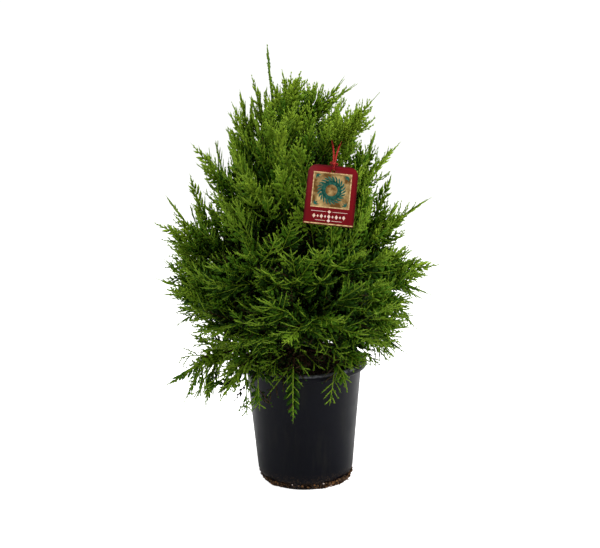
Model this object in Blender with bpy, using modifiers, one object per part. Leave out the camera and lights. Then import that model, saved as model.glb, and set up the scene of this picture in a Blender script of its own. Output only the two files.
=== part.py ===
"""A potted Leyland cypress: nursery pot, soil, leaning trunk, boughs, masses of foliage, hang tag.

Metres, +Z up. The origin is the middle of the pot's flat underside, +X is the viewer's right and
-Y is towards the viewer. Directions about the pot's axis are degrees from +X towards +Y.
"""

import math
import random

import bmesh
import bpy
from mathutils import Matrix, Vector
from mathutils.bvhtree import BVHTree
from mathutils.kdtree import KDTree

GAP = 0.0003                 # between two solids that touch on the real plant
TRUNK_GAP = 0.00036          # the same from a flat-sided trunk's corners

# Pot: a black blow-moulded nursery pot with a rolled lip and drain slots round its heel
POT_HEIGHT = 0.158
LIP_RADIUS = 0.0825
LIP_DEPTH = 0.008
WALL_TOP_RADIUS = 0.0752
HEEL_RADIUS = 0.0628
HEEL_HEIGHT = 0.0125
FOOT_RADIUS = 0.0587
POT_WALL = 0.0018
POT_SIDES = 42
SLOT_COUNT = 14
SLOT_WIDTH = 0.0145
SLOT_HEIGHT = 0.0075
SLOT_MIDDLE = 0.0062

# Soil: flat round the trunk, sunk a little towards the wall
SOIL_TOP = 0.1490
SOIL_EDGE = 0.1440
SOIL_FLAT_RADIUS = 0.0160
SOIL_SIDES = 28

# Trunk: it leans to the left, quickly at first, and stays whole up to the leader
TRUNK_TOP = 0.500
TRUNK_LEAN = 0.036
LEAN_POWER = 0.60
TRUNK_RADIUS = 0.0058
TRUNK_TIP_RADIUS = 0.0014
FLARE = 0.0040
FLARE_HEIGHT = 0.0070
TRUNK_STEPS = 14

# Boughs and stems: one curve runs from the trunk to the tip of each mass. Its first share is the bare
# bough, the rest is the stem inside the mass, and a blade ends it.
STAGGER = 0.009              # up or down, from one root of a tier to the next
BOUGH_RADIUS = 0.0024
BOUGH_TIP_RADIUS = 0.0019
BARE_SHARE = 0.30
BUTT_SHARE = 0.05            # half of the straight stretch that the two meet on
LIP_OVER = 0.172             # how high a line passes over the pot's lip
STEM_SHARE = 0.66
END_SHARE = 0.60             # where the spray that ends the stem is rooted
STEM_RADIUS = 0.0018
STEM_TIP_RADIUS = 0.0012
TWIG_RADIUS = 0.0008
TWIG_TIP_RADIUS = 0.0004

# Foliage: flat toothed sprays
SPRAY_THICKNESS = 0.0020
SPRAY_ROOT = 0.0013          # half of its width at its root
TEETH = 4                    # pairs
LAST_NOTCH = 0.76            # of its length
TOOTH_LEAN = 0.03            # how far towards the tip the teeth lean, as a share of its length
TOOTH_FORWARD = 0.20         # and as much more where it is widest
NOTCH = 0.30                 # width left at the notches
WIDE_FROM = 0.22             # its width follows a sine between these shares of a half turn
WIDE_TO = 0.88
TWIG_SHARE = 0.22            # of a side shoot
SUNK_SHARE = 0.136           # where on it the spray is rooted, sunk in the twig
SMALLEST = 0.4               # of its full length, where nothing larger fits
NARROWEST = 0.5              # of its full width, for the spray that ends a stem
ROLL = (22, 76)              # degrees that a side shoot is turned about its stem, up or down in turn
HANGING_ROLL = 0.3           # how much of that the end of a hanging stem has
TWIST = 25                   # degrees that a spray is turned about its twig
BENT = 0.20                  # how far a spray turns back towards its stem's direction
LAST_SHOOT = 0.60            # how far along the stem side shoots grow
TRIES = 24                   # a piece that doesn't fit is turned and made shorter this often
CROWN_RADIUS = 0.187         # nothing grows out past it
CROWN_TOP = 0.530            # nor up past it, but for the leader
CROWN_SHOULDER = 0.345       # the height that the crown narrows from
CROWN_TAPER = 0.52
STEM_SAMPLES = 16            # points on each stem that the masses' spaces are measured from
NEAREST_SAMPLES = 24
CLEAR = 0.0013               # from one mass's space to the next
LIMB_CLEAR = 0.0016
POT_CLEAR = 0.0020
SEED = 25

# Each tier of masses: height of its roots on the trunk, how far its stems arch above a straight line,
# stations of side shoots on each stem, length of those shoots, angle between stem and shoots, width of
# its sprays as a share of their length, and whether it has bare boughs. Then its masses: the direction
# of each, and the radius and height of its tip about the pot's axis.
TIERS = {
    "skirt": (0.176, 0.050, 2, 0.098, 44, 0.62, True, (
        ("left", 180, 0.185, 0.118), ("front_left", 226, 0.150, 0.132), ("front", 262, 0.104, 0.106),
        ("front_right", 300, 0.106, 0.140), ("right", 350, 0.136, 0.168), ("back_right", 50, 0.152, 0.150),
        ("back_left", 115, 0.156, 0.142))),
    "low": (0.204, 0.026, 3, 0.128, 43, 0.68, True, (
        ("left", 173, 0.186, 0.242), ("front_left", 224, 0.162, 0.216), ("front", 276, 0.142, 0.232),
        ("front_right", 326, 0.152, 0.222), ("right", 10, 0.173, 0.277), ("back_right", 66, 0.160, 0.236),
        ("back_left", 120, 0.164, 0.228))),
    "middle": (0.236, 0.014, 3, 0.122, 42, 0.64, False, (
        ("left", 184, 0.186, 0.343), ("front_left", 243, 0.152, 0.322), ("front_right", 300, 0.142, 0.318),
        ("right", 355, 0.164, 0.369), ("back_right", 58, 0.160, 0.345), ("back_left", 124, 0.166, 0.332))),
    "high": (0.292, 0.004, 3, 0.108, 38, 0.60, False, (
        ("left", 178, 0.136, 0.440), ("front_left", 238, 0.124, 0.412), ("front_right", 288, 0.112, 0.398),
        ("right", 2, 0.128, 0.436), ("back", 80, 0.124, 0.425))),
    "shoulder": (0.362, 0.000, 3, 0.090, 34, 0.54, False, (
        ("left", 187, 0.084, 0.490), ("front_left", 244, 0.078, 0.470), ("right", 317, 0.132, 0.503),
        ("back_right", 50, 0.090, 0.490), ("back_left", 122, 0.084, 0.482))),
    "top": (0.425, -0.008, 2, 0.068, 30, 0.50, False, (
        ("left", 178, 0.058, 0.522), ("front", 278, 0.026, 0.524), ("right", 4, 0.060, 0.517),
        ("back", 88, 0.036, 0.510))),
}
LEADER_TIP = (-0.0375, 0.0, 0.560)
LEADER_STATIONS = 1
LEADER_SHOOT = 0.045
LEADER_ANGLE = 24
LEADER_WIDTH = 0.34

# Hang tag: a card with round top corners, on a loop of cord over the stem of the right shoulder mass
TAG_WIDTH = 0.057
TAG_HEIGHT = 0.069
TAG_THICKNESS = 0.0010
TAG_TOP_ROUND = 0.0105
TAG_BOTTOM_ROUND = 0.0015
TAG_HOLE_RADIUS = 0.0022
TAG_HOLE_DOWN = 0.0058       # from the top edge
TAG_ROLL = 7                 # degrees, right side down
TAG_LEAN = 20                # degrees, foot towards the viewer
CORD_RADIUS = 0.0009
LOOP_SPREAD = 0.0055         # half of the loop's width where it hangs over the stem
LOOP_STEPS = 5
CORD_STEM_SHARE = 0.86       # how far along that stem the cord hangs
TAG_HOLE = (0.0375, -0.1190, 0.4130)
KNOT_RADIUS = 0.0027
KNOT_UP = 0.0105             # above the tag's hole
TAG_CLEAR = 0.0030
CORD_CLEAR = 0.0070
TAG_VIEW = 0.0600            # kept free towards the viewer of the tag and its cord

MATERIALS = {
    # colour, roughness, metallic
    "pot": ((0.012, 0.012, 0.014), 0.42, 0.0),
    "soil": ((0.035, 0.020, 0.012), 0.95, 0.0),
    "bark": ((0.130, 0.055, 0.030), 0.85, 0.0),
    "foliage": ((0.075, 0.185, 0.022), 0.60, 0.0),
    "tag": ((0.330, 0.008, 0.022), 0.35, 0.0),
    "cord": ((0.420, 0.012, 0.012), 0.70, 0.0),
}


def clear_scene():
    for item in list(bpy.data.objects):
        bpy.data.objects.remove(item)


def new_collection(name):
    made = bpy.data.collections.new(name)
    bpy.context.scene.collection.children.link(made)
    return made


def new_material(name):
    colour, roughness, metallic = MATERIALS[name]
    made = bpy.data.materials.new(name)
    made.use_nodes = True
    shader = made.node_tree.nodes["Principled BSDF"]
    shader.inputs["Base Color"].default_value = (*colour, 1.0)
    shader.inputs["Roughness"].default_value = roughness
    shader.inputs["Metallic"].default_value = metallic
    made.diffuse_color = (*colour, 1.0)
    return made


def add_object(name, data, collection, material=None):
    made = bpy.data.objects.new(name, data)
    collection.objects.link(made)
    if material is not None:
        data.materials.append(material)
    return made


def round_shading(item, degrees=35):
    item.data.shade_smooth()
    item.data.set_sharp_from_angle(angle=math.radians(degrees))


def evaluated_mesh(item):
    """The object's mesh with its modifiers applied, or a curve's mesh with its caps welded on."""
    bpy.context.view_layer.update()
    graph = bpy.context.evaluated_depsgraph_get()
    mesh = bpy.data.meshes.new_from_object(item.evaluated_get(graph))
    shape = bmesh.new()
    shape.from_mesh(mesh)
    bmesh.ops.remove_doubles(shape, verts=shape.verts, dist=1e-6)
    shape.to_mesh(mesh)
    shape.free()
    return mesh


def turned(name, profile, sides, collection, material):
    """A solid of revolution. The profile runs down the outer side, as (radius, height) pairs."""
    mesh = bpy.data.meshes.new(name)
    points = [(radius, 0, height) for radius, height in profile]
    mesh.from_pydata(points, [(i, i + 1) for i in range(len(points) - 1)], [])
    item = add_object(name, mesh, collection, material)
    screw = item.modifiers.new("turn", "SCREW")
    screw.steps = screw.render_steps = sides
    screw.use_merge_vertices = True
    screw.merge_threshold = 0.0001
    screw.use_smooth_shade = False
    return item


def tube(name, points, radii, collection, material=None, resolution=0):
    """A tapering tube of flat sides through the points, as a mesh with its ends closed."""
    curve = bpy.data.curves.new(name + "_line", "CURVE")
    curve.dimensions = "3D"
    curve.bevel_depth = 1.0
    curve.bevel_resolution = resolution
    curve.use_fill_caps = True
    curve.twist_mode = "MINIMUM"
    spline = curve.splines.new("POLY")
    spline.points.add(len(points) - 1)
    for place, point, radius in zip(spline.points, points, radii):
        place.co = (*point, 1.0)
        place.radius = radius
    line = bpy.data.objects.new(name + "_line", curve)
    collection.objects.link(line)
    mesh = evaluated_mesh(line)
    mesh.name = name
    item = add_object(name, mesh, collection, material)
    item.matrix_world = line.matrix_world
    bpy.data.objects.remove(line)
    return item


def boolean(item, operation, other, solver="EXACT"):
    """Cuts the object by, or joins it to, another object or a whole collection, and applies it."""
    step = item.modifiers.new(operation.lower(), "BOOLEAN")
    step.operation = operation
    step.solver = solver
    if isinstance(other, bpy.types.Collection):
        step.operand_type = "COLLECTION"
        step.collection = other
    else:
        step.object = other
    mesh = evaluated_mesh(item)
    item.modifiers.clear()
    old, item.data = item.data, mesh
    name = old.name
    bpy.data.meshes.remove(old)
    mesh.name = name


def empty_out(collection):
    for item in list(collection.objects):
        bpy.data.objects.remove(item)


# The lines of the trunk, the boughs and the crown


def crown_radius(height):
    """How far from the pot's axis foliage grows at a height."""
    return CROWN_RADIUS - CROWN_TAPER * max(0.0, height - CROWN_SHOULDER)


def trunk_axis(height):
    """The middle of the trunk at a height."""
    share = max(0.0, (height - SOIL_TOP) / (LEADER_TIP[2] - SOIL_TOP))
    return Vector((-TRUNK_LEAN * share**LEAN_POWER, 0.0, height))


def trunk_radius(height):
    share = min(1.0, (height - SOIL_TOP) / (TRUNK_TOP - SOIL_TOP))
    taper = TRUNK_TIP_RADIUS + (TRUNK_RADIUS - TRUNK_TIP_RADIUS) * (1 - share) ** 0.85
    return taper + FLARE * math.exp(-(height - SOIL_TOP) / FLARE_HEIGHT)


def arched_control(root, tip, arch):
    """The point that pulls a bough's line up: over its middle, or over the pot's lip for a hanging one."""
    hangs = tip.z < LIP_OVER
    out = 0.5
    if hangs:
        over_lip = 1.1 * LIP_RADIUS / math.hypot(tip.x, tip.y)
        out = min(max(over_lip, 0.5), 0.85)
    control = root.lerp(tip, out) + Vector((0, 0, arch))
    if hangs:
        steps = 100
        for step in range(1, steps):
            share = step / steps
            a, b, c = (1 - share) ** 2, 2 * share * (1 - share), share**2
            over = root * a + control * b + tip * c
            if math.hypot(over.x, over.y) > LIP_RADIUS:
                control.z = max(control.z, (LIP_OVER - a * root.z - c * tip.z) / b)
                break
    return control


class Plume:
    """One mass of foliage: the curve from the trunk to its tip, and how it grows."""

    def __init__(self, name, index, root, tip, arch, stations, shoot, angle, width, bare):
        self.name = name
        self.index = index
        self.root = root
        self.tip = tip
        self.control = arched_control(root, tip, arch)
        self.stations = stations
        self.shoot = shoot
        self.angle = angle
        self.width = width
        self.start = BARE_SHARE if bare else 0.0
        self.bare = bare
        self.top = max(CROWN_TOP, tip.z)

    def point(self, share):
        a, b, c = (1 - share) ** 2, 2 * share * (1 - share), share**2
        return self.root * a + self.control * b + self.tip * c

    def tangent(self, share):
        out = (self.control - self.root) * (1 - share) + (self.tip - self.control) * share
        return out.normalized()

    def butt(self):
        """Where the bough ends and the stem starts, on one straight stretch, and its direction."""
        before, after = self.point(BARE_SHARE - BUTT_SHARE), self.point(BARE_SHARE + BUTT_SHARE)
        return (before + after) / 2, (after - before).normalized()

    def bough_line(self):
        middle, _ = self.butt()
        return [self.point(share) for share in (0, BARE_SHARE * 0.4, BARE_SHARE - BUTT_SHARE)] + [middle]

    def stem_line(self):
        if not self.bare:
            return [self.point(STEM_SHARE * share) for share in (0, 0.5, 1)]
        middle, along = self.butt()
        first = BARE_SHARE + BUTT_SHARE
        return [middle + along * GAP, *(self.point(share) for share in (
            first, (first + STEM_SHARE) / 2, STEM_SHARE))]


def all_plumes():
    plumes = []
    for tier, (root, arch, stations, shoot, angle, width, bare, rows) in TIERS.items():
        for row, (place, direction, radius, height) in enumerate(rows):
            turn = math.radians(direction)
            tip = Vector((radius * math.cos(turn), radius * math.sin(turn), height))
            name = f"{tier}_{place}"
            start = trunk_axis(root + STAGGER * (2 * row % 3 - 1))
            plumes.append(Plume(name, len(plumes), start, tip, arch, stations, shoot,
                                angle, width, bare))
    leader = Plume("leader", len(plumes), trunk_axis(TRUNK_TOP), Vector(LEADER_TIP), 0.0,
                   LEADER_STATIONS, LEADER_SHOOT, LEADER_ANGLE, LEADER_WIDTH, False)
    plumes.append(leader)
    return plumes


# The hang tag's place


class TagPlace:
    """Where the cord hangs over its stem, and the frame of the tag below it."""

    def __init__(self, plume):
        share = plume.start + (STEM_SHARE - plume.start) * CORD_STEM_SHARE
        self.stem = plume.point(share)
        self.stem_radius = STEM_RADIUS + (STEM_TIP_RADIUS - STEM_RADIUS) * CORD_STEM_SHARE
        self.hole = Vector(TAG_HOLE)
        lean = Matrix.Rotation(math.radians(-TAG_LEAN), 4, "X")
        roll = Matrix.Rotation(math.radians(TAG_ROLL), 4, "Y")
        turn = lean @ roll
        self.right = (turn @ Vector((1, 0, 0))).normalized()
        self.up = (turn @ Vector((0, 0, 1))).normalized()
        self.front = (turn @ Vector((0, -1, 0))).normalized()
        self.middle = self.hole + self.up * (TAG_HOLE_DOWN - TAG_HEIGHT / 2)

    def matrix(self):
        """The tag's own X is its width, Y its height and Z its face."""
        turn = Matrix((self.right, self.up, self.front)).transposed().to_4x4()
        return Matrix.Translation(self.middle) @ turn

    def cord_frame(self):
        """A frame with Z up the cord from the tag's hole and Y towards the viewer, and the cord's length."""
        up = self.stem - self.hole
        length = up.length
        up.normalize()
        across = Vector((0, -1, 0)).cross(up).normalized()
        turn = Matrix((across, up.cross(across), up)).transposed().to_4x4()
        return Matrix.Translation(self.hole) @ turn, length

    def knot(self):
        return self.hole + (self.stem - self.hole).normalized() * KNOT_UP

    def ring_line(self):
        """From the knot down the front of the card, through its hole and up behind it."""
        knot = self.knot()
        # each point's distance from the card's middle and height above the middle of its hole
        side = [(0.0, 0.0004), (0.0011, 0.0007), (0.0020, 0.0022), (0.0021, 0.0045), (0.0018, 0.0070)]
        front = [self.hole + self.front * out + self.up * up for out, up in side]
        back = [self.hole - self.front * out + self.up * up for out, up in side[1:]]
        ends = [knot + self.front * 0.0007, knot - self.front * 0.0007]
        return [ends[0], *front[::-1], *back, ends[1]]

    def loop_line(self):
        """From the knot up one side of the stem, over it and down the other side."""
        frame, length = self.cord_frame()
        shares = [i / LOOP_STEPS for i in range(LOOP_STEPS + 1)]
        side = [(0.0009 + (LOOP_SPREAD - 0.0009) * share**1.2,
                 KNOT_UP + (length - KNOT_UP) * share) for share in shares]
        seat = self.stem_radius + CORD_RADIUS + GAP
        over = [(LOOP_SPREAD * math.cos(turn), length + seat * math.sin(turn))
                for turn in (math.pi * i / 6 for i in range(1, 6))]
        back = [(-x, up) for x, up in side[::-1]]
        return [frame @ Vector((x, 0, up)) for x, up in (*side, *over, *back)]


# What foliage has to keep clear of


def tree_of(shape):
    """A search tree of a bmesh, which is freed."""
    tree = BVHTree.FromBMesh(shape)
    shape.free()
    return tree


def box_shape(low, high, frame):
    """A box between two corners of a frame, as a bmesh."""
    shape = bmesh.new()
    low, high = Vector(low), Vector(high)
    size = high - low
    place = Matrix.Translation((low + high) / 2) @ Matrix.Diagonal((*size, 1.0))
    bmesh.ops.create_cube(shape, size=1, matrix=frame @ place)
    return shape


def mesh_shape(item):
    """An object's mesh in the plant's frame, as a bmesh."""
    shape = bmesh.new()
    shape.from_mesh(item.data)
    shape.transform(item.matrix_world)
    return shape


class Space:
    """Room for foliage: the space of each mass is where its stem is the nearest one."""

    def __init__(self, plumes, limbs, tag):
        samples = [
            (plume.point(plume.start + (1 - plume.start) * i / STEM_SAMPLES), plume.index)
            for plume in plumes
            for i in range(STEM_SAMPLES + 1)
        ]
        self.owners = [index for _, index in samples]
        self.tree = KDTree(len(samples))
        for i, (point, _) in enumerate(samples):
            self.tree.insert(point, i)
        self.tree.balance()
        pot = bmesh.new()
        bmesh.ops.create_cone(pot, cap_ends=True, segments=24, radius1=LIP_RADIUS + POT_CLEAR,
                              radius2=LIP_RADIUS + POT_CLEAR, depth=POT_HEIGHT + 2 * POT_CLEAR,
                              matrix=Matrix.Translation((0, 0, POT_HEIGHT / 2)))
        half, tall = TAG_WIDTH / 2 + TAG_CLEAR, TAG_HEIGHT / 2 + TAG_CLEAR
        card = box_shape((-half, -tall, -TAG_CLEAR), (half, tall, TAG_VIEW), tag.matrix())
        line, length = tag.cord_frame()
        cord = box_shape((-CORD_CLEAR, -CORD_CLEAR, 0), (CORD_CLEAR, TAG_VIEW, length + CORD_CLEAR), line)
        self.closed = [tree_of(shape) for shape in (pot, card, cord, *map(mesh_shape, limbs))]

    def owned(self, point, index):
        """True where the point is in that mass's space, clear of its neighbours."""
        own = other = None
        for _, sample, distance in self.tree.find_n(point, NEAREST_SAMPLES):
            if self.owners[sample] == index:
                own = distance if own is None else own
            elif other is None:
                other = distance
        if own is None:
            return False
        return other is None or other - own > 2 * CLEAR

    def takes(self, shape, tree, plume, inside):
        """True where a piece keeps to its mass's space, clear of the limbs, the pot, the tag and the cord.

        Where asked, it also keeps inside the crown.
        """
        if any(tree.overlap(other) for other in self.closed):
            return False
        points = [vert.co for vert in shape.verts]
        points += [face.calc_center_median() for face in shape.faces]
        points += [(edge.verts[0].co + edge.verts[1].co) / 2 for edge in shape.edges]
        if any(point.z > plume.top for point in points):
            return False
        if inside and any(math.hypot(point.x, point.y) > crown_radius(point.z) for point in points):
            return False
        return all(self.owned(point, plume.index) for point in points)


# Pieces of foliage


def spray_outline():
    """One side of a spray as (share of length, share of half width): root, then tooth and notch in turn."""
    side = [(0.0, 0.0)]
    step = LAST_NOTCH / TEETH
    for k in range(TEETH):
        wide = math.sin(math.pi * (WIDE_FROM + (WIDE_TO - WIDE_FROM) * (k + 0.5) / TEETH))
        side.append((step * (k + 0.5) + TOOTH_LEAN + TOOTH_FORWARD * wide, wide))
        side.append((step * (k + 1), NOTCH * wide))
    return side


def spray_shape(length, width):
    """A toothed blade along +Y from the origin, thick along its middle rib and sharp round its edge.

    The rib and the toothed edge are unlike lines, so the faces between them are lofted here.
    """
    thick = SPRAY_THICKNESS / 2
    outline = spray_outline()
    shape = bmesh.new()
    edges = {side: [shape.verts.new((side * max(SPRAY_ROOT, width / 2 * wide), length * share, 0))
                    for share, wide in outline] for side in (-1, 1)}
    tip = shape.verts.new((0, length, 0))
    rib_shares = [0.0] + [share for share, _ in outline[2::2]]
    ribs = {face: [shape.verts.new((0, length * share, face * thick * (1 - 0.5 * share)))
                   for share in rib_shares] for face in (-1, 1)}
    for side in (-1, 1):
        for face in (-1, 1):
            edge, rib = edges[side], ribs[face]
            corners = []
            for k in range(TEETH):
                corners.append((rib[k], edge[2 * k], edge[2 * k + 1]))
                corners.append((rib[k], edge[2 * k + 1], edge[2 * k + 2]))
                corners.append((rib[k], edge[2 * k + 2], rib[k + 1]))
            corners.append((rib[-1], edge[-1], tip))
            for three in corners:
                shape.faces.new(three if side * face > 0 else three[::-1])
    shape.faces.new((ribs[1][0], edges[-1][0], ribs[-1][0], edges[1][0]))
    bmesh.ops.recalc_face_normals(shape, faces=shape.faces)
    return shape


def twig_shape(length):
    """A three-sided tapering twig along +Y from the origin."""
    place = Matrix.Translation((0, length / 2, 0)) @ Matrix.Rotation(-math.pi / 2, 4, "X")
    shape = bmesh.new()
    bmesh.ops.create_cone(shape, cap_ends=True, segments=3, radius1=TWIG_RADIUS,
                          radius2=TWIG_TIP_RADIUS, depth=length, matrix=place)
    return shape


def frame_along(root, along, face):
    """A frame with Y along the piece and Z out of its face."""
    across = along.cross(face).normalized()
    turn = Matrix((across, along, across.cross(along))).transposed().to_4x4()
    return Matrix.Translation(root) @ turn


class Grower:
    """Grows one mass: twigs and sprays that fit in its space and don't run through one another."""

    def __init__(self, plume, stem, space, collection):
        self.plume = plume
        self.space = space
        self.collection = collection
        self.draw = random.Random(SEED + plume.index)
        self.taken = [tree_of(mesh_shape(stem))]

    def add(self, kind, shape):
        mesh = bpy.data.meshes.new(kind)
        shape.to_mesh(mesh)
        shape.free()
        add_object(f"{self.plume.name}_{kind}{len(self.collection.objects)}", mesh, self.collection)

    def spray(self, root, along, face, length, width, apart=True):
        """Adds a spray and tells whether it fitted. A spray that ends the stem isn't apart from it."""
        shape = spray_shape(length, length * width)
        shape.transform(frame_along(root, along, face))
        tree = BVHTree.FromBMesh(shape)
        crossed = apart and any(tree.overlap(other) for other in self.taken)
        if crossed or not self.space.takes(shape, tree, self.plume, apart):
            shape.free()
            return False
        self.taken.append(tree)
        self.add("spray", shape)
        return True

    def sides(self, share, roll):
        """The direction across the stem at a share of it and the one up from it, turned by a roll."""
        along = self.plume.tangent(share)
        across = along.cross(Vector((0, 0, 1)))
        if across.length < 0.2:      # a stem that stands almost straight up
            across = Vector((0, -1, 0)).cross(along)
        turn = Matrix.Rotation(math.radians(roll), 3, along)
        across = turn @ across.normalized()
        return across, across.cross(along)

    def shoot(self, share, side, tilt, scale):
        """Tries one side shoot: a twig with a spray on it."""
        plume, draw = self.plume, self.draw
        root, along = plume.point(share), plume.tangent(share)
        across, lift = self.sides(share, tilt * draw.uniform(*ROLL))
        angle = math.radians(plume.angle + draw.uniform(-6, 6))
        direction = along * math.cos(angle) + across * side * math.sin(angle)
        face = Matrix.Rotation(math.radians(draw.uniform(-TWIST, TWIST)), 3, direction) @ lift
        length = plume.shoot * scale
        bent = (direction + along * BENT).normalized()
        sunk = root + direction * length * SUNK_SHARE
        if not self.spray(sunk, bent, face, length * (1 - SUNK_SHARE), plume.width):
            return False
        twig = twig_shape(length * TWIG_SHARE)
        twig.transform(frame_along(root, direction, face))
        self.taken.append(BVHTree.FromBMesh(twig))
        self.add("twig", twig)
        return True

    def grow(self):
        """One spray ends the stem. Side shoots take turns left and right of it, the largest that fit."""
        plume = self.plume
        end = plume.point(END_SHARE)
        along = plume.tip - end
        flat = HANGING_ROLL if plume.tip.z < LIP_OVER else 1
        for attempt in range(TRIES):
            roll = self.draw.choice((-1, 1)) * self.draw.uniform(*ROLL)
            _, face = self.sides(END_SHARE, roll * flat)
            width = plume.width * (1 - (1 - NARROWEST) * attempt / TRIES)
            if self.spray(end, along.normalized(), face, along.length, width, False):
                break
        for station in range(plume.stations):
            for side in (1, -1):
                reach = (station + 0.5 + 0.25 * side) / plume.stations
                share = plume.start + (LAST_SHOOT - plume.start) * reach
                for attempt in range(TRIES):
                    scale = 1 - (1 - SMALLEST) * attempt / TRIES
                    if self.shoot(share, side, (-1) ** station, scale):
                        break


# Sub-parts


def make_pot(collection, cutters, material):
    inner_foot = FOOT_RADIUS - POT_WALL
    inner_top = WALL_TOP_RADIUS - POT_WALL
    profile = [
        (0.0, POT_WALL),
        (inner_foot, POT_WALL),
        (HEEL_RADIUS - POT_WALL, HEEL_HEIGHT),
        (inner_top, POT_HEIGHT - 0.0012),
        (inner_top + 0.0010, POT_HEIGHT),
        (LIP_RADIUS - 0.0022, POT_HEIGHT),
        (LIP_RADIUS, POT_HEIGHT - 0.0022),
        (LIP_RADIUS, POT_HEIGHT - LIP_DEPTH + 0.0014),
        (LIP_RADIUS - 0.0014, POT_HEIGHT - LIP_DEPTH),
        (WALL_TOP_RADIUS, POT_HEIGHT - LIP_DEPTH + 0.0012),
        (HEEL_RADIUS, HEEL_HEIGHT),
        (FOOT_RADIUS, 0.0),
        (0.0, 0.0),
    ]
    pot = turned("pot", profile, POT_SIDES, collection, material)
    for k in range(SLOT_COUNT):
        angle = 2 * math.pi * (k + 0.5) / SLOT_COUNT
        bpy.ops.mesh.primitive_cube_add(size=1)
        cutter = bpy.context.object
        cutter.name = f"slot_cutter{k}"
        cutter.users_collection[0].objects.unlink(cutter)
        cutters.objects.link(cutter)
        cutter.scale = (0.012, SLOT_WIDTH, SLOT_HEIGHT)
        cutter.location = (FOOT_RADIUS * math.cos(angle), FOOT_RADIUS * math.sin(angle), SLOT_MIDDLE)
        cutter.rotation_euler = (0, 0, angle)
    boolean(pot, "DIFFERENCE", cutters)
    empty_out(cutters)
    round_shading(pot)
    return pot


def pot_inner_radius(height):
    share = (height - HEEL_HEIGHT) / (POT_HEIGHT - HEEL_HEIGHT)
    return HEEL_RADIUS + (WALL_TOP_RADIUS - HEEL_RADIUS) * share - POT_WALL


def make_soil(collection, material):
    floor = POT_WALL + GAP
    profile = [
        (0.0, SOIL_TOP),
        (SOIL_FLAT_RADIUS, SOIL_TOP),
        (0.6 * WALL_TOP_RADIUS, SOIL_TOP - 0.0022),
        (pot_inner_radius(SOIL_EDGE) - 3 * GAP, SOIL_EDGE),    # flat sides need more than one gap
        (HEEL_RADIUS - POT_WALL - 2 * GAP, HEEL_HEIGHT),
        (FOOT_RADIUS - POT_WALL - 2 * GAP, floor),
        (0.0, floor),
    ]
    soil = turned("soil", profile, SOIL_SIDES, collection, material)
    round_shading(soil)
    return soil


def make_trunk(name, grow, collection, material=None):
    """The trunk, or a cutter that is thicker than it by grow all round."""
    foot, top = SOIL_TOP + GAP, TRUNK_TOP + grow
    heights = [foot + (top - foot) * (i / TRUNK_STEPS) ** 1.5 for i in range(TRUNK_STEPS + 1)]
    points = [trunk_axis(height) for height in heights]
    points[0].x = points[1].x = trunk_axis(SOIL_TOP + FLARE_HEIGHT).x * 0.5
    radii = [trunk_radius(height) + grow for height in heights]
    points[0].z -= 10 * grow
    trunk = tube(name, points, radii, collection, material, resolution=2)
    round_shading(trunk, 60)
    return trunk


def make_bough(plume, collection, cutter, material):
    points = plume.bough_line()
    last = len(points) - 1
    radii = [BOUGH_RADIUS + (BOUGH_TIP_RADIUS - BOUGH_RADIUS) * i / last for i in range(last + 1)]
    bough = tube(f"bough_{plume.name}", points, radii, collection, material, resolution=1)
    boolean(bough, "DIFFERENCE", cutter)
    round_shading(bough, 60)
    return bough


def make_mass(plume, space, collection, bits, cutter, material):
    """One mass: its stem, joined by one union with the twigs and sprays that grow on it."""
    points = plume.stem_line()
    last = len(points) - 1
    radii = [STEM_RADIUS + (STEM_TIP_RADIUS - STEM_RADIUS) * i / last for i in range(last + 1)]
    if plume.name == "leader":
        points[0] = plume.root + Vector((0, 0, GAP))
        radii[0] = TRUNK_TIP_RADIUS
    mass = tube(f"foliage_{plume.name}", points, radii, collection, material)
    Grower(plume, mass, space, bits).grow()
    boolean(mass, "UNION", bits, "MANIFOLD")    # the exact solver loses one mass
    empty_out(bits)
    if not plume.bare and plume.name != "leader":
        boolean(mass, "DIFFERENCE", cutter)
    return mass


def tag_outline():
    """The card's edge: two square bottom corners, two round top ones."""
    half, tall = TAG_WIDTH / 2, TAG_HEIGHT / 2
    points = []
    for x, y, radius, first in ((half, tall, TAG_TOP_ROUND, 0), (-half, tall, TAG_TOP_ROUND, 90),
                                (-half, -tall, TAG_BOTTOM_ROUND, 180), (half, -tall, TAG_BOTTOM_ROUND, 270)):
        steps = 6 if radius == TAG_TOP_ROUND else 2
        middle = Vector((math.copysign(abs(x) - radius, x), math.copysign(abs(y) - radius, y)))
        for i in range(steps + 1):
            turn = math.radians(first + 90 * i / steps)
            points.append(middle + Vector((math.cos(turn), math.sin(turn))) * radius)
    return points


def make_tag(place, collection, material):
    """A flat card, with the hole that its cord runs through."""
    curve = bpy.data.curves.new("tag_outline", "CURVE")
    curve.dimensions = "2D"
    curve.fill_mode = "BOTH"
    curve.extrude = TAG_THICKNESS / 2
    hole_height = TAG_HEIGHT / 2 - TAG_HOLE_DOWN
    hole = [Vector((TAG_HOLE_RADIUS * math.cos(math.pi * i / 8),
                    hole_height + TAG_HOLE_RADIUS * math.sin(math.pi * i / 8))) for i in range(16)]
    for outline in (tag_outline(), hole):
        spline = curve.splines.new("POLY")
        spline.points.add(len(outline) - 1)
        for corner, point in zip(spline.points, outline):
            corner.co = (point.x, point.y, 0, 1)
        spline.use_cyclic_u = True
    card = bpy.data.objects.new("tag_outline", curve)
    collection.objects.link(card)
    mesh = evaluated_mesh(card)
    bpy.data.objects.remove(card)
    tag = add_object("tag", mesh, collection, material)
    tag.matrix_world = place.matrix()
    return tag


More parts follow.
